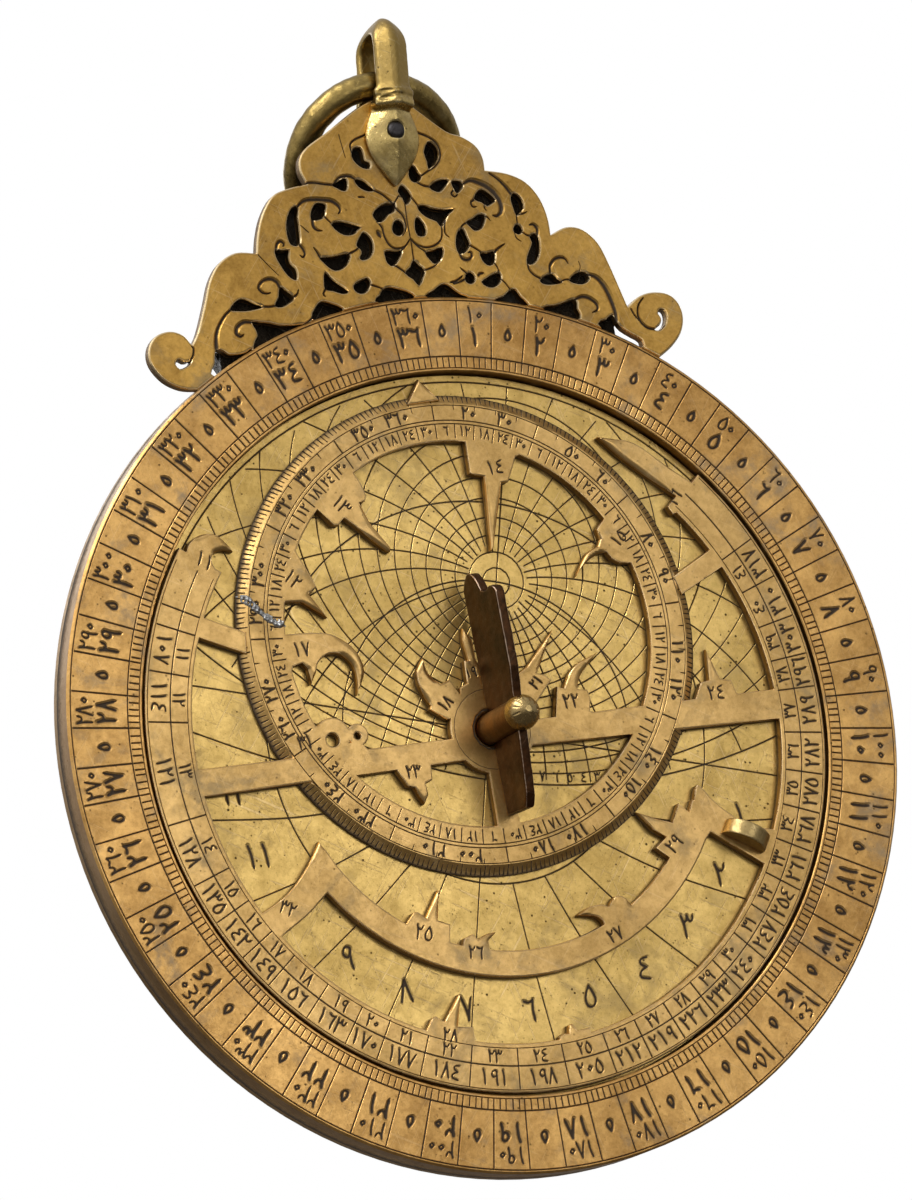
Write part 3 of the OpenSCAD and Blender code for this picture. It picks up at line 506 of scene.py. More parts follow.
def sums(tree, operation, a, b=0.0, c=0.0, clamp=False):
    n = addNode(tree, "ShaderNodeMath", operation=operation, use_clamp=clamp)
    for socket, value in zip(n.inputs, (a, b, c)):
        if isinstance(value, (int, float)):
            socket.default_value = value
        else:
            tree.links.new(value, socket)
    return n.outputs[0]


def ramp(tree, value, low, high):  # a soft step from 0 at low to 1 at high
    n = addNode(tree, "ShaderNodeMapRange", {1: low, 2: high}, {0: value}, interpolation_type="SMOOTHSTEP")
    return n.outputs[0]


def agedMetalGroup():
    g = bpy.data.node_groups.new("agedMetal", "ShaderNodeTree")
    sockets = {"INPUT": {"Color": ("Fresh", "Deep", "Haze", "GrimeAndShade", "Worn"),
                         "Float": ("Mottle", "Specks", "Scratches", "Polish", "Seed", "Aged", "TopShadeFrom",
                                   "TopShadeOver")},
               "OUTPUT": {"Color": ("Color",), "Float": ("Roughness", "Metallic", "Height")}}
    for way, kinds in sockets.items():
        for kind, names in kinds.items():
            for name in names:
                g.interface.new_socket(name, in_out=way, socket_type="NodeSocket" + kind)
    given, gout = g.nodes.new("NodeGroupInput").outputs, g.nodes.new("NodeGroupOutput")
    metres = addNode(g, "ShaderNodeTexCoord").outputs["Object"]
    mm = addNode(g, "ShaderNodeVectorMath", {"Scale": 1000.0}, {0: metres}, operation="SCALE").outputs[0]

    def noise(scale, detail, rough, stretch=None, tilt=0.0, warp=0.0):
        source = mm
        if stretch:
            settings = {"Rotation": (0, tilt, 0), "Scale": stretch}
            drawn = addNode(g, "ShaderNodeMapping", settings, {"Vector": mm}, vector_type="TEXTURE")
            source = drawn.outputs[0]
        settings = {"Scale": scale, "Detail": detail, "Roughness": rough, "Distortion": warp}
        links = {"Vector": source, "W": given["Seed"]}
        return addNode(g, "ShaderNodeTexNoise", settings, links, noise_dimensions="4D").outputs["Fac"]

    def times(a, b):
        return sums(g, "MULTIPLY", a, b)

    def plus(a, b):
        return sums(g, "ADD", a, b)

    # the tone is made of wide patches, small clouds and a fine grain
    big, mid, small = noise(0.045, 4.0, 0.6, warp=0.6), noise(0.3, 6.0, 0.7), noise(1.6, 4.0, 0.65)
    fine, pits = noise(3.2, 3.0, 0.6), noise(1.3, 5.0, 0.75)
    mottle = plus(times(ramp(g, big, 0.36, 0.66), 0.4), times(ramp(g, mid, 0.36, 0.66), 0.35))
    mottle = plus(mottle, times(ramp(g, small, 0.38, 0.64), 0.25))
    # the upper part is painted darker and browner, a painted shade
    high = addNode(g, "ShaderNodeSeparateXYZ", links={0: mm}).outputs[2]
    upper = plus(high, times(sums(g, "SUBTRACT", big, 0.5), given["TopShadeOver"]))
    upper = sums(g, "DIVIDE", sums(g, "SUBTRACT", upper, given["TopShadeFrom"]), given["TopShadeOver"], clamp=True)
    mottle = sums(g, "ADD", times(mottle, given["Mottle"]), times(upper, given["Aged"]), clamp=True)
    # haze is a grey bloom left by cleaning, specks are fine spots and sparse round pits
    haze = times(ramp(g, noise(0.09, 5.0, 0.65, warp=1.0), 0.5, 0.72), ramp(g, mid, 0.35, 0.6))
    haze = times(haze, given["Mottle"])
    links = {"Vector": mm, "W": given["Seed"]}
    dot = addNode(g, "ShaderNodeTexVoronoi", {"Scale": 0.95}, links, voronoi_dimensions="4D")
    dots = times(ramp(g, dot.outputs["Distance"], 0.26, 0.1), ramp(g, noise(0.22, 3.0, 0.6), 0.44, 0.56))
    specks = plus(times(ramp(g, fine, 0.64, 0.72), 0.5), dots)
    specks = plus(specks, times(ramp(g, pits, 0.65, 0.69), ramp(g, big, 0.42, 0.58)))
    specks = sums(g, "MULTIPLY", specks, given["Specks"], clamp=True)
    # hairline scratches are noise drawn out in four directions
    lines = 0.0
    for tilt, thin, low in ((0.5, 0.38, 0.63), (-0.9, 0.3, 0.635), (1.3, 0.34, 0.64), (2.2, 0.3, 0.65)):
        drawn = noise(1.0, 2.0, 0.5, (13.0, 1.0, thin), tilt, 0.4)
        lines = sums(g, "MAXIMUM", ramp(g, drawn, low, low + 0.05), lines)
    lines = times(lines, given["Scratches"])
    cut, rim, side = (addNode(g, "ShaderNodeAttribute", attribute_name=key).outputs["Fac"]
                      for key in ("cut", "rim", "side"))
    # dirt in grooves and hollows, and the painted shade at the walls' foot, both from the cut share
    dirt = ramp(g, plus(cut, times(sums(g, "SUBTRACT", small, 0.5), 0.3)), 0.26, 0.68)
    colour = mixColours(g, mottle, given["Fresh"], given["Deep"])
    colour = mixColours(g, times(haze, 0.75), colour, given["Haze"])
    colour = mixColours(g, times(specks, 0.8), colour, given["GrimeAndShade"])
    colour = mixColours(g, times(lines, 0.17), colour, given["Worn"])
    # pale rims from the rim share: wear and a painted highlight, none on steep walls
    wearAndSheen = times(times(ramp(g, rim, 0.12, 0.75), ramp(g, mid, 0.25, 0.5)), sums(g, "SUBTRACT", 1.0, side))
    colour = mixColours(g, times(wearAndSheen, 0.8), colour, given["Worn"])
    # steep walls are painted darker by side, a painted shade
    shade = mixColours(g, 0.45, given["GrimeAndShade"], given["Deep"])
    colour = mixColours(g, side, colour, shade)
    colour = mixColours(g, dirt, colour, given["GrimeAndShade"])
    rough = plus(given["Polish"], times(sums(g, "SUBTRACT", mottle, 0.3), 0.14))
    rough = plus(rough, plus(times(plus(specks, dirt), 0.3), times(haze, 0.15)))
    rough = sums(g, "SUBTRACT", rough, times(wearAndSheen, 0.1), clamp=True)
    metallic = sums(g, "SUBTRACT", 1.0, sums(g, "MULTIPLY_ADD", dirt, 0.85, times(haze, 0.3)), clamp=True)
    high = plus(plus(times(lines, -0.5), times(small, 0.7)), times(noise(9.0, 3.0, 0.6), 0.25))
    high = plus(high, times(specks, -0.8))
    for name, source in (("Color", colour), ("Roughness", rough), ("Metallic", metallic), ("Height", high)):
        g.links.new(source, gout.inputs[name])
    return g


agedMetal = agedMetalGroup()


# the grime colour serves dirt and the painted shade, the worn colour wear, scratches and the painted
# highlight on rims
def metal(name, fresh, deep, haze=(0.34, 0.27, 0.18), grimeAndShade=(0.045, 0.026, 0.011), worn=(0.95, 0.72, 0.42),
          mottle=1.0, specks=0.5, scratches=0.5, polish=0.34, seed=0.0, bump=0.03, topShade=0.0, topShadeFrom=30.0,
          topShadeOver=45.0):
    m = bpy.data.materials.new(name)
    m.use_nodes = True
    t = m.node_tree
    shader = t.nodes["Principled BSDF"]
    g = addNode(t, "ShaderNodeGroup", node_tree=agedMetal)
    colours = {"Fresh": fresh, "Deep": deep, "Haze": haze, "GrimeAndShade": grimeAndShade, "Worn": worn}
    for key, value in colours.items():
        g.inputs[key].default_value = (*value, 1)
    numbers = {"Mottle": mottle, "Specks": specks, "Scratches": scratches, "Polish": polish, "Seed": seed,
               "Aged": topShade, "TopShadeFrom": topShadeFrom, "TopShadeOver": topShadeOver}
    for key, value in numbers.items():
        g.inputs[key].default_value = value
    for a, b in (("Color", "Base Color"), ("Roughness", "Roughness"), ("Metallic", "Metallic")):
        t.links.new(g.outputs[a], shader.inputs[b])
    relief = {"Strength": 0.7, "Distance": bump / 1000}
    b = addNode(t, "ShaderNodeBump", relief, {"Height": g.outputs["Height"]})
    t.links.new(b.outputs["Normal"], shader.inputs["Normal"])
    return m


# limb, plate and shackle are painted darker and browner towards the top, a painted shade
limbBrass = metal("limbBrass", (0.72, 0.43, 0.145), (0.42, 0.225, 0.065), specks=0.8, scratches=0.6, seed=1.0,
                  topShade=0.45, topShadeFrom=42)
backBrass = metal("backBrass", (0.56, 0.34, 0.11), (0.32, 0.18, 0.055), haze=(0.28, 0.21, 0.12), seed=13.0)
throneBrass = metal("throneBrass", (0.58, 0.34, 0.083), (0.29, 0.155, 0.033), haze=(0.34, 0.25, 0.12),
                    worn=(0.95, 0.76, 0.45), scratches=0.8, seed=2.0)
netBrass = metal("netBrass", (0.70, 0.45, 0.17), (0.42, 0.25, 0.075), haze=(0.4, 0.3, 0.16), mottle=0.9,
                 seed=3.0)
plateBrass = metal("plateBrass", (0.77, 0.53, 0.18), (0.47, 0.30, 0.08), haze=(0.58, 0.41, 0.16), mottle=0.85,
                   specks=1.5, scratches=1.4, seed=4.0, topShade=0.45, topShadeFrom=37)
groundMetal = metal("groundMetal", (0.03, 0.024, 0.017), (0.006, 0.005, 0.004), haze=(0.04, 0.036, 0.03),
                    worn=(0.3, 0.26, 0.2), scratches=1.0, polish=0.26, seed=5.0, bump=0.6)
shackleBrass = metal("shackleBrass", (0.68, 0.52, 0.21), (0.33, 0.225, 0.07), haze=(0.2, 0.15, 0.08),
                     worn=(0.95, 0.84, 0.52), specks=1.8, polish=0.25, seed=6.0, bump=0.06, topShade=1.0,
                     topShadeFrom=107, topShadeOver=4)
ringBrass = metal("ringBrass", (0.42, 0.30, 0.10), (0.15, 0.105, 0.032), haze=(0.16, 0.13, 0.07),
                  worn=(0.5, 0.4, 0.18), specks=0.9, polish=0.3, seed=11.0, bump=0.07)
capBrass = metal("capBrass", (0.50, 0.37, 0.16), (0.24, 0.16, 0.065), haze=(0.14, 0.11, 0.06),
                 worn=(0.7, 0.55, 0.28), specks=0.7, polish=0.2, seed=12.0, bump=0.09)
copperMetal = metal("copperMetal", (0.30, 0.15, 0.045), (0.12, 0.055, 0.018), haze=(0.14, 0.09, 0.045),
                    worn=(0.55, 0.36, 0.16), seed=7.0)
horseMetal = metal("horseMetal", (0.105, 0.042, 0.016), (0.03, 0.017, 0.009), haze=(0.03, 0.026, 0.02),
                   worn=(0.66, 0.5, 0.38), mottle=1.1, scratches=0.25, seed=8.0, bump=0.05)
ironMetal = metal("ironMetal", (0.09, 0.085, 0.09), (0.03, 0.027, 0.028), haze=(0.08, 0.075, 0.075),
                  worn=(0.3, 0.28, 0.28), polish=0.4, seed=9.0, bump=0.1)
solderMetal = metal("solderMetal", (0.60, 0.61, 0.61), (0.22, 0.22, 0.22), haze=(0.4, 0.4, 0.4),
                    worn=(0.85, 0.85, 0.86), specks=1.6, polish=0.36, seed=10.0, bump=0.15)
knobBrass = metal("knobBrass", (0.50, 0.37, 0.16), (0.28, 0.19, 0.075), haze=(0.26, 0.2, 0.11), polish=0.3,
                  seed=13.0, bump=0.05)
print("finishes made")


def frontAt(z, near=0.03):  # picks the flat faces that look out at one height
    def pick(normals, middle):
        return (normals[:, 2] > 0.99) & (np.abs(middle[:, 2] - z) < near)
    return pick


# Limb: rings, a long line to five degrees and a short one to each (radii and width), and plain numbers
limb = {"rings": ((74.35, 0.3), (64.5, 0.36), (62.5, 0.22)), "depth": 0.17, "sway": 0.06,
        "long": ((64.55, 69.4, 74.25), 0.4), "short": ((62.6, 63.5, 64.4), 0.36),
        "ten": (71.9, 2.8, 0.64, 0.2, 0.6),
        "sign": (68.1, 3.3, 0.98, 0.28, 0.68), "five": (69.0, 2.1, 0.9, 0.26, 0.62)}


def limbCuts():
    cuts, depth = [], limb["depth"]
    for radius, width in limb["rings"]:
        cutRing(cuts, (0, 0), radius, width, depth)
    for k in range(360):
        c = k + jitter.normal(0, limb["sway"])
        radii, width = limb["short" if k % 5 else "long"]
        cutLine(cuts, spoke(radii, c), width * (0.9 + 0.2 * jitter.random()), depth)
        if k % 5 == 0:
            radii, width = limb["short"]
            cutLine(cuts, spoke(radii[::2], c), width, depth)
    for k in range(1, 73):
        up = 90 - 5 * k + 2.5
        for key, value in (("five", 5),) if k % 2 else (("ten", 5 * k), ("sign", k // 2)):
            cutOnCircle(cuts, value, limb[key], up, up)
    return cuts


limbPiece = engravedPiece("limb_ring", "engravedLimb", [
    {"pick": frontAt(0), "cuts": limbCuts(), "rim": (0.3, 0.24), "wall": (2.6, 0.7)}], side=0.6)
place(limbPiece, "mater", "limb_ring", "mater_brass", limbBrass)


# Plate for one latitude: stereographic circles about the pole, turned a little as it lies in the photograph
plate = {"equator": 39.7, "latitude": 23.6, "tilt": 23.5, "turned": -13.5, "top": -2.2, "depth": 0.13,
         "line": 0.34, "hourLine": 0.36, "circle": 0.38, "horizon": 0.4, "zenithGap": 5.0,
         "zenithRing": (2.5, 0.16), "hourNumber": (4.0, 0.86, 0.22), "hourRadius": 47.5,
         "highNumber": (1.7, 0.42, 0.13)}


def plateCuts():
    cuts = []
    eq, lat, depth = plate["equator"], math.radians(plate["latitude"]), plate["depth"]
    cap = eq * math.tan(math.radians(45 + plate["tilt"] / 2))
    cancer = eq ** 2 / cap
    horizonY, horizonR = eq / math.tan(lat), eq / math.sin(lat)
    zenith = eq * math.tan(math.radians(45) - lat / 2)
    nadir = -eq * math.tan(math.radians(45) + lat / 2)

    def laid(points):
        return turn(points, plate["turned"])

    def onPlate(p):
        return np.hypot(p[:, 0], p[:, 1]) < cap

    def inSky(p):  # above the horizon and not too near the zenith
        up = np.hypot(p[:, 0], p[:, 1] - horizonY) < horizonR - 0.01
        return onPlate(p) & up & (np.hypot(p[:, 0], p[:, 1] - zenith) > plate["zenithGap"])

    def addArc(centre, radius, keep, width=plate["line"], step=1.2):  # a circle's parts that keep allows
        n = int(min(2 * math.pi * radius / step, 900))
        a = np.arange(n + 1) / n * 2 * math.pi + 0.3
        p = centre + radius * np.stack([np.cos(a), np.sin(a)], -1)
        ok = keep(p)
        if ok.all():
            cutLine(cuts, laid(p[:-1]), width, depth, True)
            return
        start = int(np.flatnonzero(~ok)[0])
        ok, p = np.roll(ok[:-1], -start), np.roll(p[:-1], -start, 0)
        change = np.flatnonzero(np.diff(np.concatenate([[0], ok.astype(int), [0]])))
        for s, e in zip(change[::2], change[1::2]):
            if e - s > 2:
                cutLine(cuts, laid(p[s:e]), width, depth)

    for r in (cap, eq, cancer):
        cutRing(cuts, (0, 0), r, plate["circle"], depth)
    for x, y in ((0, cap), (cap, 0)):
        cutLine(cuts, laid([(-x, -y), (0, 0), (x, y)]), plate["hourLine"], depth)
    addArc((0, horizonY), horizonR, onPlate, plate["horizon"])
    for high in range(5, 90, 5):
        s = math.sin(lat) + math.sin(math.radians(high))
        addArc((0, eq * math.cos(lat) / s), eq * math.cos(math.radians(high)) / s, onPlate)
    # azimuths, all through zenith and nadir; the meridian is cut already
    half, middle = (zenith - nadir) / 2, (zenith + nadir) / 2
    for k in range(1, 18):
        if k != 9:
            t = math.tan(math.radians(90 - 10 * k))
            addArc((half * t, middle), half / abs(math.sin(math.radians(10 * k))), inSky, step=1.4)
    cutRing(cuts, laid([(0, zenith)])[0], *plate["zenithRing"], depth, 0.6)
    # twelve unequal hours below the horizon: curves through the divided night parts of three circles
    hours = []
    for r in (cancer, eq, cap):
        cosine = (r ** 2 + horizonY ** 2 - horizonR ** 2) / (2 * r * horizonY)
        east = math.degrees(math.acos(max(-1, min(1, cosine))))
        angle = np.radians(90 + east + np.arange(1, 12) * (360 - 2 * east) / 12)
        hours.append(np.stack([r * np.cos(angle), r * np.sin(angle)], -1))
    for k in range(11):
        if k != 5:
            line = softLine([circle[k] for circle in hours], 10)
            cutLine(cuts, laid(line[:-1]), plate["hourLine"], depth)
    for k in range(12):
        at = laid([polar(plate["hourRadius"], -12 - 13.6 * k + 2.5)])[0]
        cutNumber(cuts, k + 1, at, 90, *plate["hourNumber"])
    # altitudes beside the horizon
    for k, high in enumerate(range(9, 0, -1)):
        x = 3.2 + 2.5 * k
        at = laid([(x + 2.0, horizonY - math.sqrt(horizonR ** 2 - x ** 2) + 1.6)])[0]
        cutNumber(cuts, high, at, 90 + plate["turned"] + x * 0.6, *plate["highNumber"])
    return cuts


platePiece = engravedPiece("tympan_front", "engravedPlate", [
    {"pick": frontAt(plate["top"]), "cuts": plateCuts()}])
place(platePiece, "mater", "tympan_front", "plate_brass", plateBrass)


# Star net: two rows of numbered cells on the band (their borders in degrees), the ecliptic's scales, the
# number of each star at its place (value, x, y, top's angle, height), and the star pointers, each given by
# its horn's axis from foot to tip and the reach to each side
net = {"top": -0.3, "ecl": (-1.1, 16.7), "eclOut": 41.4, "bevel": 1.7, "bevelDrop": 1.116,
       "hubRings": ((3.5, 0.6, 0.1), (6.9, 0.2, 0.03)), "bandRings": ((54, 0.18), (57, 0.36), (61, 0.2)),
       "eclRings": ((36.2, 0.26), (36.8, 0.26), (39.45, 0.2)), "starNumber": (0.54, 0.18, 0.66),
       "outerNumber": (59.0, 2.6, 0.6, 0.19, 0.66), "innerNumber": (55.5, 2.1, 0.5, 0.17, 0.6),
       "sixNumber": (34.9, 1.7, 0.42, 0.14, 0.62), "tenNumber": (38.05, 2.2, 0.6, 0.19, 0.68),
       "cells": (2, 7.5, 14, 21, 28, -5.7, -12.6, -19.1, -25.7, -32.5, -39.2, -45.7, -52.5, -58.7, -65.4,
                 -72, -78.7, -87, -95.5, -104, -112.3, -119.8, -125.4, -132.7, -140.5, -146.3, -153, -159.6,
                 -169.7, 173.8, 165.6, 158, 154.6)}
net["tips"] = (
    (-2.6, 58.4, -2.6, 61.2, 1.7), (7.5, 42, 5.6, 30.3, 1.9), (25.6, 29.8, 20.2, 24.6, 1.5),
    (-17.4, 38.4, -12.7, 31.8, 1.7), (-29.2, 25, -26, 21.2, 1.4), (-24.2, 17, -22, 12.6, 1.7),
    (-22, 12.6, -23, 7.7, 1.6), (-30.7, 13, -30.8, 10.2, 1), (-46, 36, -40.6, 33.8, 1.7),
    (41, 39.8, 28.4, 48.8, 2), (-9.9, 6.6, -10.2, 13.4, 1.7), (-1.6, 12.6, -2.2, 17.9, 1.1),
    (8.8, 9.6, 14.4, 16.2, 1.4), (15.8, 6.6, 21.9, 11.6, 1.5), (-14.7, -9, -14.2, -11.7, 0.9),
    (42, 5.4, 41.9, 10.5, 1.2), (-16.4, -30.2, -14.2, -25.8, 1.5), (-7.6, -35, -5, -33.9, 0.8),
    (12.8, -32.2, 9.8, -32.7, 0.9), (16.8, -31.2, 20.7, -32.6, 1), (-15.6, -48.2, -13.5, -43.5, 1.4),
    (5.2, -52.2, 5.3, -50.6, 0.7), (27.4, -17.6, 23.5, -16.3, 1.3), (-35, -18.8, -34, -15.7, 1.2))
net["stars"] = (
    (11, -46.2, 32.6, 60, 2.2), (12, -31.2, 28.2, 40, 2.1), (13, -20.4, 40.2, 35, 2.1),
    (14, 8.6, 44.6, 95, 2.1), (15, 29.2, 30.6, 130, 1.9), (16, 40.8, 36.9, 140, 2),
    (17, -31.6, 16.3, 92, 2.1), (18, -7.6, 5, 130, 1.8), (19, -2.1, 9.9, 95, 1.5),
    (21, 9.4, 7.2, 130, 1.6), (22, 15.2, 3.4, 92, 2.1), (23, -15.4, -6, 88, 1.9),
    (24, 42.2, 2.5, 92, 2.1), (25, -18.2, -33, 72, 2.3), (26, -9.6, -37.2, 80, 2),
    (27, 16, -36.8, 110, 2), (28, -16.6, -50.4, 75, 1.9), (29, 29.6, -22.6, 130, 2.1),
    (31, -33.6, 0.6, 92, 1.9), (32, -41.4, -26.6, 60, 2))


def netCuts():
    cuts = []
    for value, x, y, up, height in net["stars"]:
        cutNumber(cuts, value, (x, y), up, height * 1.1, *net["starNumber"])
    for r, w, deep in net["hubRings"]:
        cutRing(cuts, (0, 0), r, w, deep)
    for r, w in net["bandRings"]:
        cutLine(cuts, arcPoints(r, 147, 401), w, 0.12)
    cells = sorted(c % 360 for c in net["cells"])
    cells = [c for c in cells if c > 150] + [c + 360 for c in cells if c < 42]
    for k, c in enumerate(cells):
        cutLine(cuts, spoke((53.9, 57, 60.9), c), 0.36, 0.15)
        if k + 1 < len(cells) and cells[k + 1] - c > 4:
            middle = (c + cells[k + 1]) / 2
            cutOnCircle(cuts, 100 + 7 * k, net["outerNumber"], middle, middle + 180)
            cutOnCircle(cuts, 10 + k, net["innerNumber"], middle, middle + 180)
    e = net["ecl"]
    for r, w in net["eclRings"]:
        cutRing(cuts, e, r, w, 0.11)
    for k in range(60):
        c = 90 - 6 * k + 3 * math.sin(math.radians(6 * k))
        cutLine(cuts, spoke((33.7, 36.15), c, e), 0.32, 0.14)
        cutOnCircle(cuts, 6 * (k % 5 + 1), net["sixNumber"], c - 3, c - 3, e)
        if k % 5 == 0:
            cutLine(cuts, spoke((36.8, 39.4), c, e), 0.36, 0.16)
        else:
            cutLine(cuts, spoke((39.6, 39, 38.2 + 0.5 * jitter.random()), c, e), (0.34, 0.26, 0.12), 0.13)
    for k in range(36):
        if k % 3 != 0:
            c = 90 - 10 * k
            cutOnCircle(cuts, 10 * (k + 1), net["tenNumber"], c, c, e)
    return cuts


def bevelCuts():  # fine lines down the ecliptic's sloping edge, the fifth ones longer
    cuts, e = [], net["ecl"]
    for k in range(300):
        c = 1.2 * k
        start, reach = (39.75 + 0.25 + 0.3 * jitter.random(), 41.32) if k % 5 else (39.75, 41.36)
        points = [polar(start, c, e), polar(reach, c + jitter.normal(0, 0.1), e)]
        cutLine(cuts, points, 0.24 + 0.1 * jitter.random(), 0.16)
    return cuts


def bevelHeight(flat):  # the sloping edge falls evenly with the radius
    r = np.hypot(flat[:, 0] - net["ecl"][0], flat[:, 1] - net["ecl"][1])
    return net["top"] - np.clip((r - net["eclOut"] + net["bevel"]) / net["bevel"], 0, 1) * net["bevelDrop"]


def pickBevel(normals, middle):
    r = np.hypot(middle[:, 0] - net["ecl"][0], middle[:, 1] - net["ecl"][1])
    return (normals[:, 2] > 0.3) & (normals[:, 2] < 0.99) & (r > 39.5) & (r < 41.6)


def bevelDirt(flat):  # darker towards the foot of the sloping edge
    return 0.62 * np.clip((net["top"] - bevelHeight(flat)) / net["bevelDrop"] * 1.3 - 0.3, 0, 1)


netPiece = engravedPiece("rete", "engravedNet", [
    {"pick": frontAt(net["top"]), "cuts": netCuts(), "rim": (0.3, 0.24), "wall": (1.8, 0.62),
     "tips": net["tips"]},
    {"pick": pickBevel, "cuts": bevelCuts(), "height": bevelHeight, "dirt": bevelDirt}], side=0.85)
place(netPiece, "star_net", "rete", "net_brass", netBrass)


